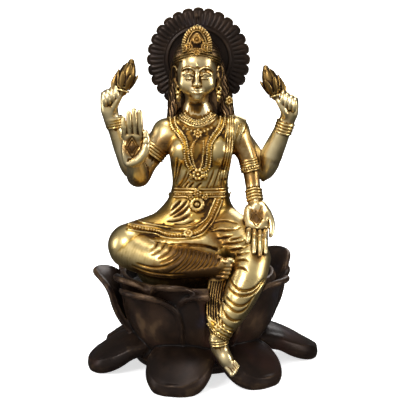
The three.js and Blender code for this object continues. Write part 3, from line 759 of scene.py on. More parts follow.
def sculpt_feet(clay):
    clay.add(tube(FOOT_HANGING), 2, SKIN)
    clay.add(egg((16.8, -66, -36), (6, 6.6, 6)), 2, SKIN)
    clay.add(egg((22.5, -73.5, -43), (5, 4.4, 6)), 3, SKIN)
    clay.paint(tube([[17, -70, -33, 9], [31, -73, -52, 7]]), SKIN, 1)
    ball = np.array([26.8, -75.8, -48.9])
    ahead = unit([5, -2.2, -6])
    across = unit([0.78, 0.1, 0.62])
    for place, length, size in TOES:
        start = ball + across * place
        end = start + ahead * length
        clay.add(tube([[*(start - ahead * 2), size], [*start, size], [*end, size * 0.86]]), 0.15, SKIN)
        clay.add(egg(end - ahead * 0.3, (size * 1.12, size * 1.12, size * 1.12)), 0.2, SKIN)
    # the anklets, and the folded leg's foot with its toes, which lies above them
    for share in (0, 0.3, 0.62):
        middle = np.array([16.8, -69, -27]) + np.array([1.2, -0.3, -7]) * share
        clay.add(ring(middle, (0.15, 0, -1), 7.3 - 0.6 * share, 0.8), 0.3, GILT)
    clay.add(egg((14, -58, 31), (12, 7, 8)), 3, SKIN)
    clay.add(egg((19, -60, 33), (6, 5, 5)), 2, SKIN)
    for i, size in enumerate((2.9, 2.2, 2.1, 2.0, 1.9)):
        place = np.array([24.5 - 0.9 * i, -63, 36 - 3.3 * i])
        clay.add(tube([[*(place - [5, -1.5, 0]), size * 0.9], [*place, size]]), 0.4, SKIN)
        clay.add(egg(place + [2.2, 0, 0], (size * 1.15, size * 1.02, size * 0.95)), 0.4, SKIN)


# Folds of the cloth as [x, z] paths seen from the front

TORSO_FOLDS = [
    [[-17, 113], [-19.4, 95], [-20.6, 89]],
    [[-13.3, 108.5], [-16.8, 98.5], [-19, 89]],
    [[-9.2, 101.5], [-13.4, 91], [-17, 86.5]],
    [[-6.5, 99.5], [-10.3, 92.5], [-15.1, 86.5]],
    [[-7.5, 92], [-11.5, 86.5]],
    [[-3.5, 91.5], [-7.5, 86]],
    [[3, 91], [-2, 86.5]],
    [[13.2, 102], [10.9, 94], [7, 86.5]],
    [[19, 105.5], [16.4, 96], [12.8, 86.5]],
    [[22.5, 113.5], [21, 101], [19.5, 87]],
    [[24.5, 108], [23.5, 98], [22.5, 88]],
]
HIP_FOLDS = [
    [[-14.5, 75], [-22.5, 67.5]],
    [[-9.2, 75], [-14.6, 69], [-24, 62.5]],
    [[-8, 71], [-11.8, 66.4], [-21.5, 62]],
    [[-6, 64.5], [-15, 60], [-26, 59]],
    [[-3, 60], [-12, 57.5], [-20, 57]],
]
LAP_FOLDS = [
    [[12.8, 57.5], [23, 61], [32, 60]],
    [[11, 52.5], [23, 54.5], [35, 58]],
    [[26, 48.5], [35, 52]],
    [[15, 48], [22, 49], [28, 52]],
    [[21, 43.5], [29, 46.5], [37.5, 50]],
    [[26, 39.5], [33, 43.5], [40, 47]],
    [[29, 37.5], [35, 40.5], [41, 43]],
    [[30.5, 34.5], [36, 37], [40, 36.5]],
    [[30, 30], [34, 31.5], [39, 29.5]],
]
KNEE_FOLDS = [
    [[-32.5, 47.5], [-34.5, 44.5], [-39.5, 41.5]],
    [[-26.5, 47], [-29, 43.5], [-38.5, 38.5]],
    [[-20, 46.5], [-23, 42.5], [-33, 36]],
    [[-14.5, 45.5], [-18, 40.5], [-31, 32.5]],
    [[-10.5, 44.5], [-15, 38], [-28, 29.5]],
    [[-24, 31.5], [-36, 28.5], [-50, 30.5]],
    [[-10, 24.5], [-24, 23], [-40, 23.5], [-54, 28]],
    [[-8, 21.5], [-22, 19.5], [-38, 20], [-50, 24]],
]
SHIN_FOLDS = [
    [[25, 22], [29, 17.5], [34.6, 14.8], [42.3, 15], [48, 17.5], [53, 22]],
    [[24, 16], [28.5, 12.3], [35.3, 10.5], [42.3, 11.4], [48.7, 15], [54, 21]],
    [[22.5, 8], [26.5, 5.2], [33, 2.7], [38.5, 3.4], [45, 10]],
    [[19.5, 9], [21, 4.4], [25.5, 0.8], [31.5, -2.5], [36.2, -1.9], [42, 5]],
    [[19, 0], [23.5, -6.3], [28.6, -9.5], [34, -9.5]],
    [[15.7, -2.8], [17.1, -8.5], [21.7, -13], [28, -16.5]],
]
GIRDLE = [[17.5, 76], [13.5, 67], [9, 58.5], [1, 54], [-10.7, 52], [-27, 52], [-41.6, 54.8], [-57, 58]]


def sculpt_folds(clay):
    clay.grooves(TORSO_FOLDS, 2.2, 1.1)
    clay.grooves(HIP_FOLDS, 2.8, 1.5)
    clay.grooves(LAP_FOLDS, 2.1, 1.5, taper=0.2)
    clay.grooves(KNEE_FOLDS, 2.2, 1.3)
    clay.grooves(SHIN_FOLDS, 2.2, 1.4, taper=0.3)
    # the pleats that gather at the folded leg's ankle
    for i in range(9):
        x = -12 + 3.3 * i
        low = 25 + 0.9 * i
        path = [[x + 5, 45 - 0.5 * i], [x + 3.5, 40], [x - 1.5 + 0.3 * i, 33], [x - 11 + 1.3 * i, low]]
        clay.groove(path, 1.9, 1.2, taper=0.4)
    # the deep line between the lap and the folded shin
    edge = [[-36, 47], [-22, 45.5], [-8, 45], [6, 43.5], [16, 40], [24, 37], [28, 33]]
    clay.groove(edge, 2.4, 2, taper=0.2)


HEM_TOP = [[9, -8.5], [12, -11.5], [17.7, -14.8], [24.9, -19.3], [27.5, -21]]
HEM_LOW = [[9.5, -14], [11.5, -16.5], [16.1, -20.3], [22.5, -24], [25, -26]]


def sculpt_hem(clay):
    """The band with a beaded edge at the hanging leg's ankle."""
    for path in (HEM_TOP, HEM_LOW):
        clay.cord(path, 0.8)
    middle = [[(a + c) / 2, (b + d) / 2] for (a, b), (c, d) in zip(HEM_TOP, HEM_LOW)]
    clay.cord(middle, 2.2, proud=-0.5, blend=0.6)
    clay.beads(beside(HEM_LOW, -1.6), 0.85, gap=0.1)


def sculpt_back(clay):
    """The back: the belt and girdle go round, with folds of the cloth, plainer than the front."""
    for z, radius in ((85.6, 0.8), (82.2, 1.3), (78.8, 0.9)):
        clay.cord([[-21, z], [2, z + 0.5], [25, z]], radius, sign=1)
    girdle = [[-24, 77], [-14, 68], [2, 64], [18, 68], [27, 77]]
    clay.cord(girdle, 2.2, proud=-0.3, sign=1)
    clay.beads(girdle, 0.9, proud=1.4, sign=1)
    clay.groove([[1.5, 114], [1.8, 102], [1.8, 89]], 3.5, 0.8, sign=1)
    for i in range(6):
        path = [[24 - 3.4 * i, 130 - 1.5 * i], [13 - 3.6 * i, 112 - 2 * i], [-2 - 3.2 * i, 97 - 1.5 * i]]
        clay.groove(path, 1.8, 0.9, sign=1)
    for side in (-1, 1):
        for i in range(5):
            x = 2 + side * (5 + 5.5 * i)
            path = [[x, 62 - 3 * i], [x + side * 6, 54 - 3 * i], [x + side * 9, 42 - 3 * i]]
            clay.groove(path, 2.2, 1.2, sign=1)
    for i in range(5):
        clay.groove([[-36, 30 - 4 * i], [-10, 25 - 4 * i], [14, 25 - 4 * i], [34, 31 - 4 * i]], 2, 1, sign=1)


def sculpt_girdle(clay):
    clay.cord(GIRDLE, 3.4, taper=0.8, proud=-0.45, blend=0.8)
    for offset in (-2.9, 2.9):
        clay.cord(beside(GIRDLE, offset), 0.65, proud=0.4)
    clay.beads(GIRDLE, 1.0, gap=0.2, proud=0.5)
    clay.flower(-8, 53, 4.2, 8, 1.3)


def sculpt_belt(clay):
    for z, radius in ((85.6, 0.8), (82.8, 1.0), (78.8, 0.9)):
        path = [[-20, z - 1], [-10, z - 0.2], [0, z], [12, z - 0.2], [23, z - 1]]
        clay.cord(path, radius)
    clay.beads([[-19, 80], [-10, 80.8], [0, 81], [12, 80.8], [22, 80]], 0.8)
    for x in (-6.6, 6.2):
        clay.flower(x, 79, 3.2, 5, 1.0)
    clay.flower(-0.3, 82.3, 3.7, 6, 1.4)
    clay.flower(-0.8, 72.3, 6.6, 12, 1.6)


def trimmed(shape, place, normal):
    """A shape without what lies beyond a plane."""
    place, normal = np.asarray(place, float), unit(normal)

    def against(distance):
        def both(x, y, z):
            beyond = (x - place[0]) * normal[0] + (y - place[1]) * normal[1] + (z - place[2]) * normal[2]
            return np.maximum(distance(x, y, z), beyond)
        return both

    return [Piece(piece.low, piece.high, against(piece.distance)) for piece in shape]


def sculpt_sleeve(clay):
    """The cloth that lies over the shoulder, with a hem."""
    cap = egg((31.5, 3, 131), (13.6, 12.6, 14.8))
    clay.add(trimmed(cap, (39, 0, 137), (0.9, 0.1, -0.44)), 0.4, CLOTH)
    for inset in (2.6, 4.2):
        edge = [[39.2 - inset, 140], [37.4 - inset, 134], [34.6 - inset, 128], [31 - inset, 121]]
        clay.groove(edge, 0.9, 0.5, taper=0.8)


def sculpt_scarf(clay):
    clay.cord([[27, 145], [27, 134], [26, 118], [22, 95]], 4.6, taper=0.7, proud=-0.35, tint=None, blend=1.2)
    for offset in (-3.2, -1.1, 1.1, 3.2):
        path = beside([[27, 146], [27, 134], [26, 118], [22.5, 100], [21.5, 92]], offset)
        clay.groove(path, 1.3, 0.9, taper=0.7)


COLLAR_INNER = [[-11, 148], [-7, 144.5], [-0.5, 142.5], [6, 144.5], [11, 148]]
COLLAR_OUTER = [[-20, 146.5], [-11, 140.5], [-0.5, 137.5], [10, 140.5], [18, 147]]
GARLAND_LEFT = [[-21.5, 146], [-20, 138], [-15, 132], [-11.6, 127], [-9.9, 118.4], [-8.6, 109.5], [-5, 102.5]]
GARLAND_RIGHT = [[21, 146], [18.4, 136.5], [13.4, 130], [10, 124.5], [9, 113], [7.5, 104], [4.5, 101.5]]
NECK_CHAIN = [
    [-0.8, 127.5],
    [-4.1, 123.5],
    [-5.4, 119.5],
    [-3.6, 107],
    [-0.4, 102.5],
    [2.5, 104.5],
    [4.2, 113],
    [4.6, 125.5],
]


def strand(path, count=24):
    """A path as evenly spaced places."""
    line = curve(path, 1.5, 2)
    at = np.linspace(0, 1, count)
    return np.column_stack([np.interp(at, shares(line)[0], line[:, i]) for i in range(2)])


def sculpt_necklaces(clay):
    inner, outer = strand(COLLAR_INNER), strand(COLLAR_OUTER)
    for i, share in enumerate((0, 0.3, 0.62, 1)):
        path = inner + (outer - inner) * share
        if i % 2:
            clay.cord(path, 0.75)
        else:
            clay.beads(path, 0.9)
    clay.beads([[-12, 136.5], [-0.5, 133.5], [11.5, 136.5]], 0.9, gap=0.9)
    for path in (GARLAND_LEFT, GARLAND_RIGHT):
        clay.cord(path, 2.1, taper=0.75, proud=-0.1, depth=0.8)
        for offset in (-1.2, 1.2):
            clay.beads(beside(path, offset), 1.05, gap=0.1, proud=1.1, end_radius=0.8)
    clay.beads(NECK_CHAIN, 0.75)
    clay.flower(-0.2, 131.8, 4.4, 6, 1.5)
    clay.flower(0.1, 98.4, 5.4, 8, 1.7)
    for x in (-5.4, 5.6):
        clay.flower(x, 97, 2.6, 5, 1.0)


def bracelet(clay, low, high, radius, rings, beaded):
    """Rings around a limb, between two places on its axis, with a row of beads before the last ring."""
    low, high = np.asarray(low, float), np.asarray(high, float)
    axis = high - low
    for i in range(rings):
        middle = low + axis * i / (rings - 1)
        if beaded and i == rings - 2:
            beads = []
            for place in around(middle, axis, radius, int(2 * math.pi * radius / 2.1)):
                beads += egg(place, (0.95, 0.95, 0.95))
            clay.add(beads, 0.2, GILT)
        else:
            clay.add(ring(middle, axis, radius - 0.25, 0.95), 0.25, GILT)


def crease(clay, place, side):
    """A short line cut across a finger."""
    clay.cut(chain([[*(place - side), 0.5], [*(place + side), 0.5]]), 0.2)


def finger(clay, root, tip, radius):
    """A finger from its root to its tip, a little bent forward, with creases at its joints."""
    root, tip = np.asarray(root, float), np.asarray(tip, float)
    middle = (root + tip) / 2 + FRONT
    rows = [[*root, radius], [*((root + middle) / 2), radius * 1.03], [*middle, radius * 0.97],
            [*((middle + tip) / 2), radius * 0.95], [*tip, radius * 0.78]]
    clay.add(tube(rows, 1.5), 0.15, SKIN)
    side = unit(np.cross(tip - root, FRONT)) * radius
    for share in (0.36, 0.66):
        crease(clay, root + (tip - root) * share + FRONT * (radius + 1.05), side)


def palm_mark(clay, x, z, half, rise):
    """Nested diamonds engraved in a palm."""
    clay.groove([[x, z + rise], [x, z], [x, z - rise]], 1.4 * half, 0.8, taper=0.3, blend=0.3)
    for share in (1.0, 0.62):
        across, up = half * share, rise * share
        corners = [[x, z + up], [x + across, z], [x, z - up], [x - across, z]]
        for (ax, az), (bx, bz) in zip(corners, corners[1:] + corners[:1]):
            line = [[ax, az], [(ax + bx) / 2, (az + bz) / 2], [bx, bz]]
            clay.groove(line, 1.0, 0.7, taper=0.9, blend=0.15)


def sculpt_raised_hand(clay):
    clay.add(egg((-53, -26, 121.5), (10.4, 4.6, 14)), 2, SKIN)
    clay.add(egg((-59, -27.5, 118), (3.4, 3.8, 11)), 2, SKIN)
    clay.add(egg((-53, -27.5, 132.5), (9.8, 3.7, 4.4)), 2, SKIN)
    palm_mark(clay, -53.8, 123.5, 5.4, 8.6)
    tips = [[-60.6, -30, 146.8], [-56.2, -31, 151.5], [-51.8, -31.3, 154], [-47.4, -31, 152.5]]
    for i, tip in enumerate(tips):
        finger(clay, [-60 + 4.5 * i, -28, 133], tip, 2.5 if i else 2.3)
    # painted shade: dark lines in the gaps between the fingers, in the hair's dark tint
    for i in range(3):
        tip = (np.array(tips[i]) + tips[i + 1]) / 2 - [0, 0, 2]
        root = [-57.75 + 4.5 * i, -29.6, 134]
        line = chain([[*root, 0.7], [*((tip + root) / 2 - [0, 2, 0]), 0.7], [*(tip - [0, 0.8, 0]), 0.7]])
        clay.paint(line, HAIR_AND_SHADE)
    thumb = [
        [-56.5, -28.5, 109.5, 3],
        [-50, -30, 112, 4.2],
        [-45, -30.5, 117.5, 4.2],
        [-42.3, -30.5, 124, 3.3],
        [-41.9, -30.5, 130.5, 2.9],
        [-42.8, -30.5, 136, 2],
    ]
    clay.add(tube(thumb), 0.8, SKIN)
    for z in (126, 131):
        clay.groove([[-44.6, z], [-42.2, z + 0.5], [-39.8, z]], 0.9, 0.4, taper=0.8, blend=0.15)


def sculpt_giving_hand(clay):
    wrist, root = np.array([48, -13.5, 75]), np.array([49.2, -38, 55])
    along = unit(root - wrist)
    across = unit(np.cross(along, UP))
    across *= np.sign(across[0])
    facing = unit(np.cross(along, across))
    facing *= -np.sign(facing[1])
    turn = [across, along, facing]
    palm = wrist + along * 15.5
    clay.add(tube([[48.2, -13, 73, 5.2], [*(wrist + along * 8), 6]], depth=0.8), 2, SKIN)
    for at, size, blend in (
        ((0, 0, -1.5), (10.8, 16.5, 4.6), 2),
        ((6.5, -2, 1.5), (4.2, 10.5, 3.6), 1),
        ((-7, 0, 0.8), (3.6, 11, 3.4), 1.5),
        ((0, 11, -0.3), (9.4, 6.5, 4.1), 3),
    ):
        clay.add(egg(palm + np.array(at) @ np.array(turn), size, turn), blend, SKIN)
    palm_mark(clay, 48.3, 64.2, 4.6, 5)
    tips = [[40.8, -53, 49.5], [45.2, -62.5, 43], [49.8, -64.5, 41], [54.4, -61, 42]]
    fingers = []
    for i, tip in enumerate(tips):
        start = root + across * (4.6 * i - 7.4) + along * (0.5 - 0.7 * abs(i - 2))
        middle = (start + tip) / 2 + [0, -0.5, 3.2]
        fingers.append([[*start, 2.2], [*((start + middle) / 2 + [0, 0, 0.8]), 2.2], [*middle, 2.1],
                        [*((middle + tip) / 2 + [0, -0.8, 1]), 2.05], [*tip, 1.7]])
    # painted shadow: the hair's dark tint around the fingers and on the cloth under them
    for rows in fingers:
        clay.paint(tube(rows, 1.5, grow=1.2), HAIR_AND_SHADE)
    for rows in fingers:
        clay.add(tube(rows, 1.5), 0.1, SKIN)
        line = curve(rows, 1)
        for share in (0.34, 0.66):
            x, y, z, thick = line[int(share * (len(line) - 1))]
            place = np.array([x, y, z]) + facing * (thick + 0.15)
            crease(clay, place, across * 1.8)
    thumb = [
        [*(wrist + along * 5 + across * 5 + facing * 2), 3.2],
        [57.5, -24.5, 67.5, 3.7],
        [60.5, -29, 61.5, 3.1],
        [61, -32.5, 56, 2.6],
        [60, -35.5, 50.5, 1.7],
    ]
    clay.add(tube(thumb), 0.8, SKIN)


def bud(clay, foot, tip, width, side):
    """A lotus bud on its stem, with leaves around it."""
    foot, tip = np.asarray(foot, float), np.asarray(tip, float)
    stem = unit(tip - foot)
    length = np.linalg.norm(tip - foot)
    across = unit([stem[2], 0, -stem[0]]) * side
    front = unit(np.cross(stem, across))
    if front[1] > 0:
        front = -front

    def place(share, turn, radius):
        return foot + stem * length * share + (math.cos(turn) * front + math.sin(turn) * across) * radius

    def beside_stem(table):
        """Rows of [share of the length, offset, radius], the last two in widths of the bud."""
        return [[*(foot + stem * length * at + across * out * width), radius * width]
                for at, out, radius in table]

    bulb = [[0, 0, 0.5], [0.16, 0, 0.5], [0.36, -0.15, 0.85], [0.66, -0.1, 0.72], [0.98, 0, 0.33]]
    clay.add(tube(beside_stem(bulb), 2), 0.8, BUD)
    for tier, (at, reach, count, leaf) in enumerate(((0.56, 0.62, 7, 0.36), (0.36, 0.86, 6, 0.3))):
        for i in range(count):
            turn = 2 * math.pi * (i + 0.5 * tier) / count
            outward = math.cos(turn) * front + math.sin(turn) * across
            lean = unit(stem + (0.28 if tier else -0.12) * outward)
            tangent = unit(np.cross(lean, outward))
            rows = [tangent, np.cross(tangent, lean), lean]
            size = (width * 0.36, width * 0.2, length * leaf)
            clay.add(egg(place(at, turn, reach * width), size, rows), 0.25, BUD)
    for at, radius in ((0.03, 0.62), (0.14, 0.6)):
        clay.add(ring(place(at, 0, 0), stem, radius * width, 0.9), 0.3, GILT)
    for start, end, offset in ((0.1, 0.8, 0.72), (-0.16, 0.52, 1.2)):
        blade = [(start, offset * 0.8, 0.22), ((start + end) / 2, offset, 0.34), (end, offset * 0.98, 0.1)]
        clay.add(tube(beside_stem(blade), 2, depth=0.7), 0.5, BUD)


def sculpt_bud_hand(clay, side, wrist, knuckle, foot, tip, width):
    """A hand closed around a stem, with the bud that it holds up."""
    kx, ky, kz = knuckle
    heel = [(kx + wrist[0]) / 2 - side, ky, (kz + wrist[2]) / 2, 7.4]
    clay.add(tube([[*wrist, 6.2], heel, [kx - side * 3.5, ky, kz - 1, 6.2]], depth=0.75), 2, SKIN)
    bud(clay, foot, tip, width, side)
    thumb = [[kx - side * 8, ky - 2, kz - 12, 3.4], [kx - side * 11, ky - 5, kz - 5, 2.9], [*foot, 2.3]]
    clay.add(tube(thumb), 0.8, SKIN)
    for i in range(4):
        x = kx - side * (3.4 * i + 0.5)
        z = kz + 1.9 * i
        rows = [
            [x + side, ky + 3, z - 1, 2.3],
            [x, ky - 4.5, z + 1.6, 2.25],
            [x - side * 0.7, ky - 7, z - 2.5, 2.1],
            [x - side * 1.2, ky - 6, z - 7, 1.9],
        ]
        clay.add(tube(rows, 1.5), 0.35, SKIN)


ELBOW_REAR_RIGHT = [[61, 11, 104, 7.5], [57.5, 13, 95, 5.2], [56, 13.5, 89, 2]]
# Bracelets and armlets: both ends on the limb's axis, radius, rings, and whether one ring is of beads
BRACELETS = [
    ([-69.6, 5.4, 136.5], [-70.9, 4.6, 143], 7.3, 4, False),
    ([71.5, 4.4, 132], [73.8, 3, 139.5], 7.5, 4, False),
    ([-34.5, 1.2, 119], [-38.8, 0.4, 113.2], 10.6, 4, False),
    ([42.2, 0.6, 108], [44.2, -0.2, 99.5], 7.6, 5, True),
    ([46.9, -7, 83], [47.9, -10.8, 76], 6.8, 4, False),
]


def sculpt_arms(clay):
    for rows in (REAR_ARM_LEFT, REAR_ARM_RIGHT, ELBOW_REAR_RIGHT, FRONT_ARM_LEFT, FRONT_ARM_RIGHT):
        clay.add(tube(rows), 3, SKIN)
    for row in BRACELETS:
        bracelet(clay, *row)
    sculpt_raised_hand(clay)
    sculpt_giving_hand(clay)
    sculpt_bud_hand(clay, -1, [-71.3, 4, 138], [-79, 1, 162.5], [-62.5, -4, 166.5], [-55, -2, 191.5], 7.6)
    sculpt_bud_hand(clay, 1, [74, 2, 139], [81.5, 0, 158], [64.5, -3, 162.5], [56, -3, 186.5], 7.2)


# Lines of the face as rows of [x from the middle, y, z from the head's middle, radius]
UPPER_LID = [
    [2.6, -13.2, -3.5, 0.45],
    [4.4, -14.6, -1.6, 0.7],
    [7.2, -14.7, -0.9, 0.8],
    [9.6, -13, -1.9, 0.7],
    [11.4, -10.9, -3.4, 0.45],
]
LOWER_LID = [
    [2.6, -13.2, -3.7, 0.35],
    [4.8, -14.3, -4.7, 0.5],
    [7.6, -14.1, -5, 0.5],
    [11.2, -11, -3.6, 0.35],
]
BROW = [[2.2, -15, 1.9, 0.45], [5.5, -15.2, 3.9, 0.7], [9.3, -13.4, 3.7, 0.65], [12.9, -9.8, 1, 0.4]]
NOSE = [[0, -13.6, 1.2, 1.3], [0, -15.2, -4, 1.4], [0, -17.4, -9, 1.9]]
BROW_MARK = [[0, -15.5, 5.4, 0.8], [0, -15.1, 8, 0.45]]
# The lips and the line between them, from one corner to the middle
UPPER_LIP = [
    [-4.6, -13.5, -15, 0.45],
    [-2.2, -15.2, -14.1, 0.85],
    [-0.9, -15.9, -13.9, 0.9],
    [0, -15.9, -14.2, 0.85],
]
LOWER_LIP = [[-4.3, -13.5, -15.3, 0.45], [-2, -15.3, -16.2, 1], [0, -15.8, -16.6, 1.15]]
LIP_LINE = [[-4.9, -13.9, -14.9, 0.25], [-2, -16.2, -15.2, 0.32], [0, -16.8, -15.4, 0.32]]


def on_face(rows, side=1):
    """A line of the face, put in the figure's frame."""
    return [[MIDDLE + side * x, y, HEAD + z, radius] for x, y, z, radius in rows]


def both_sides(rows):
    """A line that ends in the middle, carried on to the other side."""
    return rows + [[-x, y, z, radius] for x, y, z, radius in rows[-2::-1]]


def sculpt_face(clay):
    for y, z, size, blend in (
        (2, 0, (16.8, 16.5, 21), 0),
        (-4, -14, (9.4, 10, 9.3), 7),
        (-6, 9, (12, 8.5, 8), 6),
        (-11.8, -20.4, (3.4, 3, 3), 3),
    ):
        clay.add(egg((MIDDLE, y, HEAD + z), size), blend, SKIN)
    for side in (-1, 1):
        eye = MIDDLE + side * 6.7
        clay.add(egg((MIDDLE + side * 8.4, -7.4, HEAD - 9.5), (6, 5, 6.6)), 6, SKIN)
        clay.cut(egg((MIDDLE + side * 6.6, -17.6, HEAD - 1.8), (4.2, 3.1, 2.4)), 2.5)
        clay.add(egg((eye, -11.7, HEAD - 2.7), (4, 2.9, 2.5)), 0.6, SKIN)
        clay.cut(ring((eye, -14.6, HEAD - 2.8), FRONT, 1.15, 0.32), 0.1)
        clay.cut(egg((eye, -14.9, HEAD - 2.8), (0.4, 0.5, 0.4)), 0.1)
        upper = on_face(UPPER_LID, side)
        clay.add(tube(upper, 1), 0.3, SKIN)
        clay.add(tube(on_face(LOWER_LID, side), 1), 0.4, SKIN)
        clay.cut(tube([[x, y + 0.35, z + 1.25, 0.35] for x, y, z, _ in upper], 1), 0.2)
        clay.add(tube(on_face(BROW, side), 1), 0.6, SKIN)
        clay.add(egg((MIDDLE + side * 2, -16.1, HEAD - 9.8), (1.4, 1.7, 1.4)), 0.9, SKIN)
        sculpt_ear(clay, side)
    clay.add(tube(on_face(NOSE), 1.5), 1.8, SKIN)
    clay.add(egg((MIDDLE, -17.4, HEAD - 9.4), (2, 1.9, 1.6)), 0.8, SKIN)
    clay.add(egg((MIDDLE, -12.2, HEAD - 15.4), (6, 3.4, 4)), 2, SKIN)
    for lip in (UPPER_LIP, LOWER_LIP):
        clay.add(tube(on_face(both_sides(lip)), 1), 0.3, SKIN)
    clay.cut(tube(on_face(both_sides(LIP_LINE)), 1), 0.15)
    clay.cut(egg((MIDDLE, -17, HEAD - 18.9), (3, 1.7, 0.9)), 1.2)
    clay.add(tube(on_face(BROW_MARK), 1), 0.2, GILT)


def sculpt_ear(clay, side):
    """An ear that stands a little out from the head, with the earring under its lobe."""
    middle = np.array([MIDDLE + side * 18.2, 1.5, HEAD - 2])
    outward = unit([side * 0.72, 0.69, 0])
    facing = unit([side * 0.69, -0.72, 0])
    clay.add(egg(middle, (3.4, 6.4, 1.4), [outward, UP, facing]), 1, BUD)
    helix = []
    for i in range(11):
        turn = math.radians(-95 + 25 * i)
        place = middle + outward * 3.1 * math.cos(turn) + UP * 6 * math.sin(turn) + facing * 0.9
        helix.append([*place, 0.8])
    clay.add(tube(helix, 1.5), 0.4, BUD)
    clay.cut(egg(middle + facing * 2 + outward * 0.4, (1.6, 3, 1.2), [outward, UP, facing]), 0.5)
    x, y = MIDDLE + (17.9 if side > 0 else -15.6), -2.2
    lobe = [[*(middle - UP * 5), 1.9], [(x + middle[0]) / 2, 0, HEAD - 10, 1.9], [x, y, HEAD - 12.6, 1.6]]
    clay.add(tube(lobe), 0.8, BUD)
    clay.add(ring((x, y, HEAD - 14.6), FRONT, 1.9, 0.75), 0.3, GILT)
    clay.add(egg((x, y, HEAD - 17.8), (2.5, 2.5, 2)), 0.3, GILT)
    clay.add(ring((x, y, HEAD - 17.8), UP, 2.5, 0.5), 0.2, GILT)
    clay.add(egg((x, y, HEAD - 21.4), (2, 2, 2.5)), 0.4, GILT)
    clay.add(egg((x, y, HEAD - 24.4), (1, 1, 1.2)), 0.3, GILT)


LOCK_LEFT = [[-18, 8, 188, 5], [-19.5, 10, 172, 5.5], [-20, 10, 156, 6], [-22, 5, 137, 5]]
LOCK_RIGHT = [[17, 8, 188, 5], [20, 10, 172, 6], [23.5, 10, 156, 6.5], [27, 5, 137, 5]]
HAIR_BACK = [[0, 13, 196, 16], [0, 12.5, 176, 19], [1, 11, 158, 20], [1.5, 12, 130, 17], [1.5, 13, 108, 6]]


def sculpt_hair(clay):
    clay.add(egg((MIDDLE, 6, HEAD + 9), (20.5, 15.5, 19)), 0.5, HAIR_AND_SHADE)
    clay.add(egg((MIDDLE, 4, HEAD + 26), (9.5, 9, 10)), 2, HAIR_AND_SHADE)
    clay.add(tube(LOCK_LEFT), 1, HAIR_AND_SHADE)
    clay.add(tube(LOCK_RIGHT), 1, HAIR_AND_SHADE)
    clay.add(tube(HAIR_BACK, depth=0.45), 2, HAIR_AND_SHADE)
    # combed lines over the cap, from a parting in the middle back to the sides, and strands along the falls
    for side, fall in ((-1, LOCK_LEFT), (1, LOCK_RIGHT)):
        for i in range(15):
            start = math.radians(18 + 11 * i)
            rows = []
            for j in range(9):
                over = math.radians(8 + 9.5 * j)
                turn = start + math.radians(26) * math.sin(over)
                x = MIDDLE + side * 20.7 * math.sin(over)
                y = 6 - 15.7 * math.cos(turn) * math.cos(over)
                z = HEAD + 9 + 19.2 * math.sin(turn) * math.cos(over)
                rows.append([x, y, z, 0.55])
            clay.cut(tube(rows, 2), 0.3)
        for k in range(9):
            line = curve(fall, 3)
            turn = math.radians(-100 + 25 * k) + 0.25 * np.sin(np.arange(len(line)) * 1.1 + k)
            reach = line[:, 3] + 0.15
            line[:, 0] += reach * np.sin(turn)
            line[:, 1] -= reach * np.cos(turn)
            line[:, 3] = 0.6
            clay.cut(chain(line), 0.3)
    for k in range(21):
        x = 19 * (k / 10 - 1)
        path = [[x * 0.85, 206], [x, 190], [x, 165], [x * 0.95 + 1, 142], [x * 0.6 + 1.5, 114]]
        clay.groove(path, 1.2, 0.6, taper=0.6, sign=1)


# The crown: a pointed front plate with a rayed rim, and the fillet above the brow

PLATE_FOOT = HEAD + 17.5
PLATE_HALF = 12.8
PLATE_RISE = 21.5
PLATE_WALL = 3.5
PLATE_SPRING = 4.5
ARCH_RISE = PLATE_RISE - PLATE_SPRING
ARCH_RADIUS = (PLATE_HALF ** 2 + ARCH_RISE ** 2) / (2 * PLATE_HALF)


def plate_front(x, z):
    return -13 + 5 * ((x - MIDDLE) / PLATE_HALF) ** 2 + (z - PLATE_FOOT) * 0.17


def arch(x, z):
    """The distance to a pointed arch, seen from the front."""
    across = np.abs(x - MIDDLE) + ARCH_RADIUS - PLATE_HALF
    rise = z - PLATE_FOOT
    curved = np.sqrt(across ** 2 + np.maximum(rise - PLATE_SPRING, 0) ** 2) - ARCH_RADIUS
    return np.maximum(curved, -rise - 1)


def crown_rays(x, z):
    turn = np.arctan2(x - MIDDLE, z - PLATE_FOOT - 4)
    return np.clip(np.cos(turn * 38) * 1.6, -1, 1)


def crown_plate():
    def distance(x, y, z):
        edge = arch(x, z)
        rays = crown_rays(x, z)
        rim = np.clip((edge + 3.6) / 0.4, 0, 1)
        relief = rim * (0.55 * rays + 0.1) - 0.9 * (1 - rim)
        face = plate_front(x, z)
        thick = np.maximum(face - relief - y, y - face - PLATE_WALL)
        scalloped = edge - 0.2 * rays + 0.2
        return 0.8 * np.maximum(thick, scalloped)

    low = np.array([MIDDLE - PLATE_HALF, -16.5, PLATE_FOOT - 1])
    high = np.array([MIDDLE + PLATE_HALF, -1, PLATE_FOOT + PLATE_RISE])
    return [Piece(low, high, distance)]


def crown_shadow():
    """The front of the plate between its rays and inside its rim."""
    def distance(x, y, z):
        edge = arch(x, z)
        between = np.maximum(crown_rays(x, z) + 0.35, edge + 0.5)
        inside = np.minimum(between, edge + 3.5)
        return np.maximum(inside, y - plate_front(x, z) - 2)

    plate = crown_plate()[0]
    return [Piece(plate.low, plate.high, distance)]


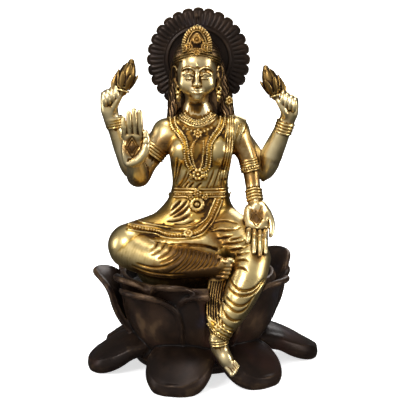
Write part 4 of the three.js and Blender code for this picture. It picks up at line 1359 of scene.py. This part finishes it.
def sculpt_crown(clay):
    clay.add(crown_plate(), 0.3, GILT)
    clay.paint(crown_shadow(), HAIR_AND_SHADE)
    for inset in (4.3, 6.6):
        half, rise = PLATE_HALF - inset, PLATE_RISE - 1.25 * inset
        path = []
        for i in range(15):
            share = math.sin(math.pi * (i / 14 - 0.5))
            path.append([MIDDLE + half * share, PLATE_FOOT + 0.5 + rise * (1 - share ** 2) ** 0.62])
        clay.cord(path, 0.65)
    clay.flower(MIDDLE, PLATE_FOOT + 9, 4.3, 10, 1.5)
    for side in (-1, 1):
        scroll = []
        for i in range(15):
            turn = math.radians(-60 + 38 * i)
            reach = 3.5 - 0.2 * i
            x = MIDDLE + side * (7 - reach * math.cos(turn))
            scroll.append([x, PLATE_FOOT + 3.6 + reach * math.sin(turn)])
        clay.cord(scroll, 0.7)
    for drop, wire in ((2.1, 0.6), (0.1, 0.65), (-1.8, 0.6)):
        rows = []
        for i in range(13):
            turn = math.pi * (0.06 + 0.88 * i / 12)
            z = HEAD + 14.3 - 6.2 * math.cos(turn) ** 2 + drop
            rows.append([MIDDLE - 19.7 * math.cos(turn), 5 - 18.7 * math.sin(turn), z, wire])
        clay.add(tube(rows, 2), 0.4, BUD)
    clay.flower(MIDDLE, HEAD + 15.6, 3, 6, 1.6)
    # the flower on the shoulder where the hair falls
    clay.flower(26, 158, 4, 6, 1.6)


def core_profile():
    """The lotus without its petals, as [radius, z] corners from the ground up."""
    rim = SEAT_TOP + SEAT_RIM_HEIGHT
    outside = SEAT_RADIUS + SEAT_RIM_WIDTH
    return [
        [0, 0],
        [FOOT_RADIUS, 0],
        [WAIST_RADIUS + 4, FOOT_RISE],
        [WAIST_RADIUS + 6, FOOT_RISE + 6],
        [WAIST_RADIUS, WAIST_HEIGHT],
        [(WAIST_RADIUS + outside) / 2, (SEAT_TOP + WAIST_HEIGHT) / 2],
        [outside, rim - 4],
        [outside - 2, rim],
        [outside - 5, rim],
        [SEAT_RADIUS, SEAT_TOP],
        [0, SEAT_TOP],
    ]


def disc_behind(x0, y0, z0, radius):
    """All that lies behind a disc that faces the front."""
    def distance(x, y, z):
        out = np.sqrt((x - x0) ** 2 + (z - z0) ** 2) - radius
        return np.maximum(out, y0 - y)

    low = np.array([x0 - radius, y0, z0 - radius])
    high = np.array([x0 + radius, y0 + 40, z0 + radius])
    return [Piece(low, high, distance)]


def sculpt_figure():
    clay = Clay((-86, -82, -60), (88, 34, 224), FIGURE_VOXEL)
    steps = (
        sculpt_body, sculpt_feet, sculpt_folds, sculpt_sash, sculpt_sleeve, sculpt_scarf, sculpt_hem,
        sculpt_girdle, sculpt_belt, sculpt_back, sculpt_necklaces, sculpt_arms, sculpt_face, sculpt_hair,
        sculpt_crown,
    )
    for sculpt in steps:
        sculpt(clay)
    # room for the seat below, but not in the leg that hangs over it, and for the halo behind
    seat = [[radius, z - SEAT_TOP] for radius, z in core_profile()]
    slices, near = clay.measure(hanging_leg(), EDGE)
    kept = clay.field[slices].copy()
    clay.cut(lathe(seat, CLEARANCE))
    clay.field[slices] = np.where(near < 0.6, kept, clay.field[slices])
    x, y, z = HALO_CENTRE
    clay.cut(disc_behind(x, y - HALO_THICKNESS - 1 - CLEARANCE, z - SEAT_TOP, HALO_RADIUS + CLEARANCE))
    return clay.mesh("goddess", SEAT_TOP, FIGURE_TRIANGLES)


# The lotus seat

# Each petal of the cup: its angle from the front, and its tip's radius, height and width share
OUTER_PETALS = [
    (-44, 77, 77, 1.19),
    (10, 74, 80, 1.02),
    (57, 82, 85.5, 1.06),
    (112, 81, 79, 1.1),
    (161, 80, 80, 1),
    (209, 80, 80, 1),
    (261, 88, 80, 1),
]
INNER_PETALS = [
    (-60, 74, 85, 1),
    (-17, 76, 87, 0.8),
    (122, 88, 90, 1.05),
    (171, 84, 89, 0.8),
    (231, 84, 86, 0.8),
]
# Each petal of the ground tier: its angle, and its reach
GROUND_PETALS = [(-80, 95), (-13.5, 91), (42, 88.5), (103, 107), (165, 94), (233, 96)]


def cup_petal_point(petal, across, along, inset=0.0):
    angle, tip_radius, tip_height, share = petal
    half = CUP_PETAL_WIDTH * share / 2
    foot = WAIST_HEIGHT - 6
    tip = np.maximum(0, along - 0.42) / 0.58
    outline = np.where(along < 0.42, 0.8 + 0.2 * along / 0.42, np.sqrt(np.maximum(1 - tip ** 2.3, 0.0004)))
    height = foot + (tip_height - foot) * (1 - (1 - along) ** 1.35)
    bulge = (tip_radius - CUP_PETAL_FLARE - WAIST_RADIUS) * (1 - (1 - along) ** 3.8)
    flare = 1.2 * CUP_PETAL_FLARE * (np.maximum(0, along - 0.6) / 0.4) ** 1.8
    radius = WAIST_RADIUS + bulge + flare - 4 * across ** 2 * (1 - along) - inset
    turn = np.radians(angle) + half * outline * across / radius
    return np.stack([radius * np.sin(turn), -radius * np.cos(turn), height], axis=-1)


def ground_petal_point(petal, across, along, under=False):
    angle, reach = petal
    start = WAIST_RADIUS - 16
    tip = np.maximum(0, (along - 0.5) / 0.5)
    round_end = np.sqrt(np.maximum(1 - tip ** 2.4, 0.0004))
    spread = 0.72 + 0.28 * np.sin(np.pi * np.minimum(0.5, along))
    side = GROUND_PETAL_WIDTH / 2 * across * spread * round_end
    out = start + (reach - start) * along
    slope = GROUND_PETAL_LIP + 26 * (1 - along ** 1.6)
    dome = 4 * (1 - across ** 2) * np.sin(np.pi * along) - 5 * across ** 2 * (1 - along)
    top = slope + dome
    bottom = np.maximum(0, top - GROUND_PETAL_WALL - 6 * (1 - along)) * (1 - tip ** 0.7)
    turn = math.radians(angle)
    x = side * math.cos(turn) + out * math.sin(turn)
    y = side * math.sin(turn) - out * math.cos(turn)
    return np.stack([x, y, bottom if under else top], axis=-1)


def sheet(outer, inner):
    """A closed skin over two grids of points, as points and quads."""
    rows, columns = outer.shape[:2]
    number = np.arange(rows * columns).reshape(rows, columns)
    shift = rows * columns
    quads = []
    a, b, c, d = number[:-1, :-1], number[:-1, 1:], number[1:, 1:], number[1:, :-1]
    quads.append(np.stack([a, b, c, d], axis=-1).reshape(-1, 4))
    quads.append(np.stack([d, c, b, a], axis=-1).reshape(-1, 4) + shift)
    border = np.concatenate([number[0, :-1], number[:-1, -1], number[-1, :0:-1], number[:0:-1, 0]])
    ahead = np.roll(border, -1)
    quads.append(np.stack([ahead, border, border + shift, ahead + shift], axis=-1))
    points = np.concatenate([outer.reshape(-1, 3), inner.reshape(-1, 3)])
    return points, np.concatenate(quads)


def skin_shape(clay, points, quads):
    """A closed skin as a shape: its distances near the surface, on the clay's own grid."""
    band = 6
    low = points.min(axis=0)
    start = np.floor((low - clay.low) / clay.voxel).astype(int) - band - 1
    count = np.ceil((points.max(axis=0) - clay.low) / clay.voxel).astype(int) + band + 2 - start
    local = (points - clay.low) / clay.voxel - start
    grid = openvdb.FloatGrid.createLevelSetFromPolygons(
        local.astype(np.float32), quads=quads.astype(np.uint32), halfWidth=float(band))
    found = np.empty(tuple(count), np.float32)
    grid.copyToArray(found)
    found *= clay.voxel
    origin = clay.low + start * clay.voxel

    def distance(x, y, z):
        at = [np.rint((v.ravel() - o) / clay.voxel).astype(int) for v, o in zip((x, y, z), origin)]
        spots = [np.clip(a, 0, n - 1) for a, n in zip(at, count)]
        return found[np.ix_(*spots)]

    return [Piece(low, points.max(axis=0), distance)]


def petal_grid(rows, columns):
    """Shares along and across a petal, closer together near its tip."""
    along = 1 - (1 - np.linspace(0, 1, rows)[:, None]) ** 1.8
    across = np.linspace(-1, 1, columns)[None, :]
    return np.broadcast_arrays(along, across)


def rim_line(start, count):
    """Shares across and along, from one side of a petal's foot over its tip to the other side."""
    up = start + (1 - start) * (1 - (1 - np.linspace(0, 1, count)) ** 1.8)
    return np.concatenate([np.full(count, -1.0), np.full(count, 1.0)]), np.concatenate([up, up[::-1]])


def cup_petal(clay, petal, blend):
    along, across = petal_grid(36, 25)
    wall = CUP_PETAL_WALL * (1.7 - 0.9 * along)
    dish = 1.7 * (1 - across ** 2) * np.sin(np.pi * along) ** 0.7
    outer = cup_petal_point(petal, across, along, 0.4 + dish)
    inner = cup_petal_point(petal, across, along, wall)
    clay.add(skin_shape(clay, *sheet(outer, inner)), blend)
    side, up = rim_line(0.12, 34)
    tip = np.clip((up - 0.7) / 0.3, 0, 1) ** 2
    rim = cup_petal_point(petal, side, up, 1.3 - 1.2 * tip)
    rim[:, 2] -= 0.8 * tip
    clay.add(chain(np.column_stack([rim, 2.0 + 0.7 * tip])), 2)


def ground_petal(clay, petal, blend):
    """A thick petal that is rounded along its sides, with a low lip around its tip."""
    along, across = petal_grid(34, 25)
    drop = 2.6 * across ** 6 * (1 - along ** 6) + 0.5 * (1 - across ** 4)
    outer = ground_petal_point(petal, across, along) - np.stack([0 * drop, 0 * drop, drop], axis=-1)
    inner = ground_petal_point(petal, across * 0.94, along * 0.985, under=True)
    clay.add(skin_shape(clay, *sheet(outer, inner)), blend)
    side, up = rim_line(0.25, 32)
    inset = (petal[0], petal[1] - 3.6)
    top = ground_petal_point(inset, side * 0.86, up)
    low = ground_petal_point(inset, side * 0.86, up, under=True)
    thick = np.clip((top - low)[:, 2] / 2, 3.4, 5.6)
    clay.add(chain(np.column_stack([(top + low) / 2 - [0, 0, 0.5], thick])), 3)
    side, up = rim_line(0.84, 18)
    lip = ground_petal_point((petal[0], petal[1] - 0.9), side * 0.97, up)
    middle = np.sin(np.pi * np.linspace(0, 1, len(lip)))
    lip[:, 2] += 0.9 * middle ** 12 - 1.1
    clay.add(chain(np.column_stack([lip, 0.5 + 0.5 * middle + 0.4 * middle ** 12])), 1.6)


# The notch in the petals through which the sash hangs over the rim of the seat, in the seat's own frame
SASH_NOTCH = [[16, -62, 94, 9], [15.5, -70, 82, 8.8], [15, -77, 69, 6]]


def sculpt_lotus():
    clay = Clay((-99, -96, -3), (109, 96, 97), LOTUS_VOXEL)
    clay.add(lathe(core_profile()))
    for petal in GROUND_PETALS:
        ground_petal(clay, petal, 1.5)
    for petal in OUTER_PETALS + INNER_PETALS:
        cup_petal(clay, petal, 1.2)
    clay.cut(raised(hanging_leg(ROOM), SEAT_TOP))
    clay.cut(tube(SASH_NOTCH), 1)
    floor = clay.axes[2][None, None, :]
    clay.field = np.maximum(clay.field, -floor)
    return clay.mesh("lotus", 0, LOTUS_TRIANGLES)


def raised(shape, by):
    """A shape moved up."""
    def lifted(distance):
        return lambda x, y, z: distance(x, y, z - by)

    return [Piece(piece.low + UP * by, piece.high + UP * by, lifted(piece.distance)) for piece in shape]


# The halo: a scalloped disc with ribs on its front and a plain middle

HALO_HUB = 0.4
HALO_INNER = 27.0
# The collar around the plain middle and the rolled edge, as (way out, height) rows
HALO_COLLAR = [
    (-1.7, 0.1), (-1.3, 0.4), (-0.7, 0.6), (0, 0.5), (0.5, 0.2),
    (0.9, 0.0), (1.4, -0.1), (1.8, 0.1), (2.4, 0.2), (2.9, 0.1),
]
HALO_ROLL = [(-1.7, 0.2), (-1.35, 0.9), (-0.8, 1.15), (-0.3, 0.8), (0, 0.1)]
HALO_BACK_RINGS = 19


def halo_rings(turn):
    """The halo from the middle of its front over its edge to the middle of its back, as radii and depths."""
    flat = np.ones(len(turn))
    lobe = (turn * HALO_LOBES / (2 * np.pi) + 0.5) % 1 * 2 - 1
    edge = HALO_RADIUS - 2.9 * (1 - np.sqrt(np.maximum(1 - lobe ** 2, 0.0)))
    flute = np.abs(np.sin(turn * HALO_LOBES)) ** 0.6
    front = -HALO_THICKNESS
    rings = []
    for share in np.linspace(0, 1, 8):
        radius = HALO_HUB + (HALO_INNER - 2.2 - HALO_HUB) * share
        rings.append((radius * flat, (front + 0.3 * (1 - share)) * flat))
    for out, height in HALO_COLLAR:
        rings.append(((HALO_INNER + out) * flat, (front - height) * flat))
    start = HALO_INNER + HALO_COLLAR[-1][0]
    for share in np.linspace(0.04, 1, 16):
        rib = 1.25 * (flute - 0.45) * np.sin(np.pi * min(1, share * 1.1)) ** 0.5
        rings.append((start + (edge - 1.9 - start) * share, front + 0.9 * share - rib))
    for out, height in HALO_ROLL:
        rings.append((edge + out, (front + 1.1 - height) * flat))
    for out, depth in ((0, front / 2), (-0.2, -0.6), (-0.8, 0)):
        rings.append((edge + out, depth * flat))
    for share in np.linspace(0.03, 0.36, 10):
        rib = 0.5 * (0.6 - flute) * np.sin(np.pi * share / 0.4) ** 0.5
        rings.append((HALO_HUB + (edge - 1.2) * (1 - share), rib - 0.5))
    for share in np.linspace(0.4, 1, 7):
        rings.append((HALO_HUB + (edge - 1.2) * (1 - share), (-0.5 if share > 0.45 else -0.1) * flat))
    return rings


def halo_mesh():
    steps = 16 * HALO_LOBES
    turn = 2 * np.pi * np.arange(steps) / steps
    points = [np.column_stack([r * np.sin(turn), d, r * np.cos(turn)]) for r, d in halo_rings(turn)]
    # the small boss at the top of the front
    for row in points[:-HALO_BACK_RINGS]:
        far = np.hypot(row[:, 0] + 1, row[:, 2] - HALO_RADIUS + 7)
        row[:, 1] -= 1.3 * np.exp(-(far / 2.2) ** 2)
    number = np.arange(len(points) * steps).reshape(len(points), steps)
    ahead = np.roll(number, -1, axis=1)
    quads = np.stack([number[:-1], ahead[:-1], ahead[1:], number[1:]], axis=-1).reshape(-1, 4)
    hub = np.full(steps, number.size)
    fan_front = np.column_stack([hub, ahead[0], number[0]])
    fan_back = np.column_stack([hub + 1, number[-1], ahead[-1]])
    points = np.concatenate(points + [np.array([[0, 0.3 - HALO_THICKNESS, 0], [0, 0, 0]])])
    triangles = np.concatenate([quads[:, [0, 1, 2]], quads[:, [0, 2, 3]], fan_front, fan_back])
    mesh = bpy.data.meshes.new("halo_disc")
    fill_mesh(mesh, (points + HALO_CENTRE) / 1000, outward(points, triangles))
    shade_smooth(mesh)
    store_relief(mesh, 1000)
    return placed("halo_disc", mesh)


# Materials


class Nodes:
    """Short names for making a material's nodes."""

    def __init__(self, name):
        self.material = bpy.data.materials.new(name)
        self.material.use_nodes = True
        self.tree = self.material.node_tree
        self.tree.nodes.clear()
        self.output = self.tree.nodes.new("ShaderNodeOutputMaterial")
        self.shader = self.tree.nodes.new("ShaderNodeBsdfPrincipled")
        self.tree.links.new(self.shader.outputs[0], self.output.inputs[0])
        self.place = self.tree.nodes.new("ShaderNodeTexCoord").outputs["Object"]

    def link(self, source, target):
        if isinstance(source, (int, float)):
            target.default_value = source
        elif isinstance(source, tuple):
            target.default_value = (*source, 1) if len(source) == 3 else source
        else:
            self.tree.links.new(source, target)

    def attribute(self, key):
        node = self.tree.nodes.new("ShaderNodeAttribute")
        node.attribute_name = key
        return node.outputs["Fac"]

    def noise(self, scale, detail=4.0, roughness=0.55):
        node = self.tree.nodes.new("ShaderNodeTexNoise")
        node.inputs["Scale"].default_value = scale
        node.inputs["Detail"].default_value = detail
        node.inputs["Roughness"].default_value = roughness
        self.link(self.place, node.inputs["Vector"])
        return node.outputs["Fac"]

    def height(self):
        node = self.tree.nodes.new("ShaderNodeSeparateXYZ")
        self.link(self.place, node.inputs[0])
        return node.outputs["Z"]

    def math(self, operation, *values):
        node = self.tree.nodes.new("ShaderNodeMath")
        node.operation = operation
        for value, target in zip(values, node.inputs):
            self.link(value, target)
        return node.outputs[0]

    def ramp(self, value, low, high, start=0.0, end=1.0):
        node = self.tree.nodes.new("ShaderNodeMapRange")
        node.interpolation_type = "SMOOTHSTEP"
        for key, number in (("From Min", low), ("From Max", high), ("To Min", start), ("To Max", end)):
            node.inputs[key].default_value = number
        self.link(value, node.inputs["Value"])
        return node.outputs["Result"]

    def mix(self, share, first, second):
        node = self.tree.nodes.new("ShaderNodeMix")
        node.data_type = "RGBA"
        self.link(share, node.inputs["Factor"])
        self.link(first, node.inputs["A"])
        self.link(second, node.inputs["B"])
        return node.outputs["Result"]

    def bump(self, height, strength, distance):
        node = self.tree.nodes.new("ShaderNodeBump")
        node.inputs["Strength"].default_value = strength
        node.inputs["Distance"].default_value = distance
        self.link(height, node.inputs["Height"])
        self.link(node.outputs["Normal"], self.shader.inputs["Normal"])


# Colours of the brass, from the darker to the lighter mix, and those of its tarnish and stains, which also
# paint shade: where much clay lies around, and where the stains table puts it
CLOTH_BRASS = ((0.35, 0.21, 0.045), (0.52, 0.345, 0.10))
GILT_BRASS = ((0.45, 0.235, 0.028), (0.62, 0.36, 0.055))
SKIN_BRASS = ((0.67, 0.49, 0.225), (0.88, 0.74, 0.465))
BUD_BRASS = ((0.06, 0.032, 0.013), (0.26, 0.155, 0.048))
# the hair's colours, also used for painted shade between the fingers and on the crown plate
HAIR_AND_SHADE_BRASS = ((0.016, 0.010, 0.007), (0.16, 0.095, 0.045))
RIDGE_BRASS = (0.86, 0.69, 0.34)
TARNISH_AND_SHADE = (0.27, 0.13, 0.022)
DEEP_TARNISH_AND_SHADE = (0.042, 0.022, 0.009)
STAIN_AND_SHADE = (0.33, 0.16, 0.035)
DEEP_STAIN_AND_SHADE = (0.06, 0.03, 0.015)


def brass():
    """Polished brass, with a dark patina left in what is sunk, and painted shade where much clay lies around,
    where the stains table puts it, and in the hair's dark tint between the fingers and on the crown plate.
    """
    n = Nodes("polished_brass")
    fine, broad = n.attribute("fine"), n.attribute("broad")
    crowd, shade = n.attribute("crowd"), n.attribute("shade")
    grain = n.noise(900, 3)
    cloud = n.noise(45, 4)
    smear = n.noise(220, 4, 0.65)
    depth = n.math("ADD", n.ramp(fine, 0.01, 0.15, 0, 0.8), n.ramp(broad, 0.08, 0.8, 0, 0.5))
    # painted shade: darker where much clay lies around, in corners and between parts
    depth = n.math("ADD", depth, n.ramp(crowd, 0.55, 0.85, 0, 0.25))
    depth = n.math("ADD", depth, n.ramp(shade, 0.55, 0.9, 0, 0.35))
    depth = n.math("ADD", depth, n.ramp(smear, 0.35, 0.75, -0.09, 0.1))
    ridge = n.ramp(fine, -0.02, -0.15)
    cloth = n.mix(n.ramp(cloud, 0.38, 0.62), *CLOTH_BRASS)
    gilt = n.mix(n.ramp(smear, 0.35, 0.65), *GILT_BRASS)
    skin = n.mix(n.ramp(cloud, 0.38, 0.64), *SKIN_BRASS)
    colour = n.mix(n.attribute("gilt"), cloth, gilt)
    colour = n.mix(n.attribute("skin"), colour, skin)
    colour = n.mix(n.math("MULTIPLY", ridge, 0.6), colour, RIDGE_BRASS)
    # stains of the patina, and painted shade where the stains table puts it: darker and duller
    stain_and_shade_patch = n.math("MULTIPLY", n.attribute("stain_and_shade"), n.ramp(n.noise(120, 4), 0.3, 0.6, 0.5, 1.0))
    colour = n.mix(n.ramp(stain_and_shade_patch, 0.05, 0.6, 0, 0.85), colour, STAIN_AND_SHADE)
    colour = n.mix(n.ramp(stain_and_shade_patch, 0.5, 1.0, 0, 0.85), colour, DEEP_STAIN_AND_SHADE)
    colour = n.mix(n.ramp(depth, 0.12, 0.6), colour, TARNISH_AND_SHADE)
    colour = n.mix(n.ramp(depth, 0.55, 1.25), colour, DEEP_TARNISH_AND_SHADE)
    bud = n.mix(ridge, *BUD_BRASS)
    colour = n.mix(n.attribute("bud"), colour, n.mix(n.ramp(fine, 0.0, 0.1), bud, (0.02, 0.012, 0.008)))
    # the hair's dark tint, which also paints shade between the fingers and on the crown plate
    hair_and_shade = n.mix(n.ramp(fine, 0.05, -0.1), *HAIR_AND_SHADE_BRASS)
    colour = n.mix(n.attribute("hair_and_shade"), colour, hair_and_shade)
    n.link(colour, n.shader.inputs["Base Color"])
    n.shader.inputs["Metallic"].default_value = 1.0
    rough = n.math("ADD", n.ramp(depth, 0.1, 1.0, 0.32, 0.55), n.ramp(cloud, 0.3, 0.7, -0.04, 0.05))
    rough = n.math("ADD", rough, n.ramp(grain, 0.3, 0.7, -0.02, 0.03))
    rough = n.math("ADD", rough, n.ramp(stain_and_shade_patch, 0.3, 1.2, 0, 0.22))
    n.link(rough, n.shader.inputs["Roughness"])
    n.bump(n.math("ADD", n.math("MULTIPLY", grain, 0.4), smear), 0.2, 0.0002)
    return n.material


def patina(name, worn=1.0, dimmed=0.0):
    """A dark brown patina, worn to a brown sheen along its rims, and painted shade that darkens it towards
    the ground.
    """
    n = Nodes(name)
    fine, broad = n.attribute("fine"), n.attribute("broad")
    cloud = n.noise(38, 5)
    smear = n.noise(170, 5, 0.65)
    grain = n.noise(800, 3)
    colour = n.mix(n.ramp(cloud, 0.4, 0.62), (0.016, 0.009, 0.006), (0.034, 0.018, 0.010))
    colour = n.mix(n.ramp(n.noise(22, 2), 0.56, 0.72, 0, 0.6), colour, (0.075, 0.028, 0.018))
    colour = n.mix(n.ramp(n.noise(27, 3), 0.58, 0.74, 0, 0.5), colour, (0.022, 0.022, 0.042))
    edge = n.math("ADD", n.ramp(broad, -0.25, -1.0), n.ramp(cloud, 0.35, 0.7, -0.35, 0.2))
    colour = n.mix(n.ramp(edge, 0.3, 1.0, 0, 0.45 * worn), colour, (0.062, 0.035, 0.02))
    edge = n.math("ADD", n.ramp(fine, -0.06, -0.2), n.ramp(cloud, 0.4, 0.7, -0.4, 0.1))
    colour = n.mix(n.ramp(edge, 0.3, 1.0, 0, 0.35 * worn), colour, (0.15, 0.09, 0.042))
    colour = n.mix(n.ramp(broad, 0.1, 0.8), colour, (0.008, 0.006, 0.005))
    # painted shade: darker towards the ground, from about 5 cm down
    colour = n.mix(n.ramp(n.height(), 0.05, 0.015, 0, 0.6), colour, (0.008, 0.005, 0.004))
    colour = n.mix(dimmed, colour, (0.008, 0.006, 0.004))
    n.link(colour, n.shader.inputs["Base Color"])
    n.shader.inputs["Metallic"].default_value = 0.5
    n.shader.inputs["Specular IOR Level"].default_value = 0.22
    rough = n.math("ADD", n.ramp(cloud, 0.3, 0.7, 0.30, 0.42), n.ramp(grain, 0.3, 0.7, -0.03, 0.05))
    n.link(rough, n.shader.inputs["Roughness"])
    n.bump(n.math("ADD", n.math("MULTIPLY", grain, 0.3), smear), 0.25, 0.0003)
    return n.material


# The stage

# The lamps: each one's name, place, size and power, in metres and watts
LAMPS = [
    ("key", (-0.55, -0.95, 0.75), (0.42, 0.42), 8.5),
    ("side", (0.95, -0.35, 0.35), (0.2, 0.6), 4.5),
    ("left", (-1.0, -0.15, 0.3), (0.15, 0.6), 2.5),
    ("top", (0.0, -0.1, 1.1), (0.5, 0.4), 4.5),
    ("behind", (0.3, 0.95, 0.7), (0.5, 0.5), 3),
]
LAMP_TARGET = (0, 0, 0.15)
# The paper behind: flat to where it bends, then up a quarter circle and on upright
PAPER_GLOW = 0.68
PAPER_HALF_WIDTH = 3.5
PAPER_FRONT = -3.0
PAPER_TOP = 3.0
BEND_START = 0.9
BEND_RADIUS = 0.6


def area_light(name, place, size, power, target=LAMP_TARGET):
    light = bpy.data.lights.new(name, "AREA")
    light.shape = "ELLIPSE"
    light.size, light.size_y = size
    light.energy = power
    lamp = placed(name, light)
    lamp.location = place
    lamp.rotation_euler = (Vector(target) - Vector(place)).to_track_quat("-Z", "Y").to_euler()
    return lamp


def build_stage():
    n = Nodes("paper")
    shade = n.mix(n.noise(3, 2), (0.88, 0.88, 0.88), (0.90, 0.90, 0.89))
    n.link(shade, n.shader.inputs["Base Color"])
    n.shader.inputs["Roughness"].default_value = 0.9
    n.shader.inputs["Emission Color"].default_value = (1, 1, 1, 1)
    n.shader.inputs["Emission Strength"].default_value = PAPER_GLOW
    profile = [(PAPER_FRONT, 0.0), (BEND_START, 0.0)]
    for i in range(1, 9):
        turn = math.radians(90 * i / 8)
        profile.append((BEND_START + BEND_RADIUS * math.sin(turn), BEND_RADIUS * (1 - math.cos(turn))))
    profile.append((BEND_START + BEND_RADIUS, PAPER_TOP))
    points = [(x, y, z) for y, z in profile for x in (-PAPER_HALF_WIDTH, PAPER_HALF_WIDTH)]
    faces = np.array([[2 * i, 2 * i + 1, 2 * i + 3, 2 * i + 2] for i in range(len(profile) - 1)])
    mesh = bpy.data.meshes.new("backdrop")
    fill_mesh(mesh, points, faces)
    shade_smooth(mesh)
    mesh.materials.append(n.material)
    sweep = placed("backdrop", mesh)
    sweep.visible_glossy = False
    build_world()
    for lamp in LAMPS:
        area_light(*lamp)
    paper_light = area_light("paper", (0.0, 0.3, 1.6), (1.8, 0.5), 20, (0, 0.9, 0.3))
    paper_light.visible_glossy = False


def build_world():
    """Soft light from all round: most from the front and above, little from behind and below."""
    world = bpy.data.worlds.new("studio")
    world.use_nodes = True
    tree = world.node_tree
    place = tree.nodes.new("ShaderNodeTexCoord")
    dot = tree.nodes.new("ShaderNodeVectorMath")
    dot.operation = "DOT_PRODUCT"
    dot.inputs[1].default_value = unit((-0.25, -0.75, 0.55))
    tree.links.new(place.outputs["Generated"], dot.inputs[0])
    glow = tree.nodes.new("ShaderNodeMapRange")
    glow.interpolation_type = "SMOOTHSTEP"
    for key, number in (("From Min", -0.3), ("From Max", 1.0), ("To Min", 0.05), ("To Max", 0.58)):
        glow.inputs[key].default_value = number
    tree.links.new(dot.outputs["Value"], glow.inputs["Value"])
    background = tree.nodes["Background"]
    background.inputs["Color"].default_value = (0.98, 0.98, 1.0, 1)
    tree.links.new(glow.outputs["Result"], background.inputs["Strength"])
    bpy.context.scene.world = world


# The camera: its focal length in pixels, the picture's width, its place in metres and its tilt in degrees
FOCAL_PIXELS = 1176.2
PICTURE_PIXELS = 400
SENSOR_WIDTH = 36
CAMERA_PLACE = (0.0017, -0.98163, 0.33452)
CAMERA_TILT = 11


def build_camera():
    data = bpy.data.cameras.new("camera")
    data.sensor_width = SENSOR_WIDTH
    data.lens = FOCAL_PIXELS / PICTURE_PIXELS * SENSOR_WIDTH
    data.clip_end = 20
    camera = placed("camera", data)
    camera.location = CAMERA_PLACE
    camera.rotation_euler = (math.radians(90 - CAMERA_TILT), 0, 0)
    bpy.context.scene.camera = camera


def dress(piece, node, material):
    piece.data.materials.clear()
    piece.data.materials.append(material)
    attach(piece, "root")
    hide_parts(node)


bpy.context.scene.view_settings.view_transform = "Standard"
build_camera()
build_stage()
dress(sculpt_figure(), "figure", brass())
dress(sculpt_lotus(), "lotus_seat", patina("dark_patina"))
dress(halo_mesh(), "halo", patina("dark_patina_halo", 0.6, 0.35))
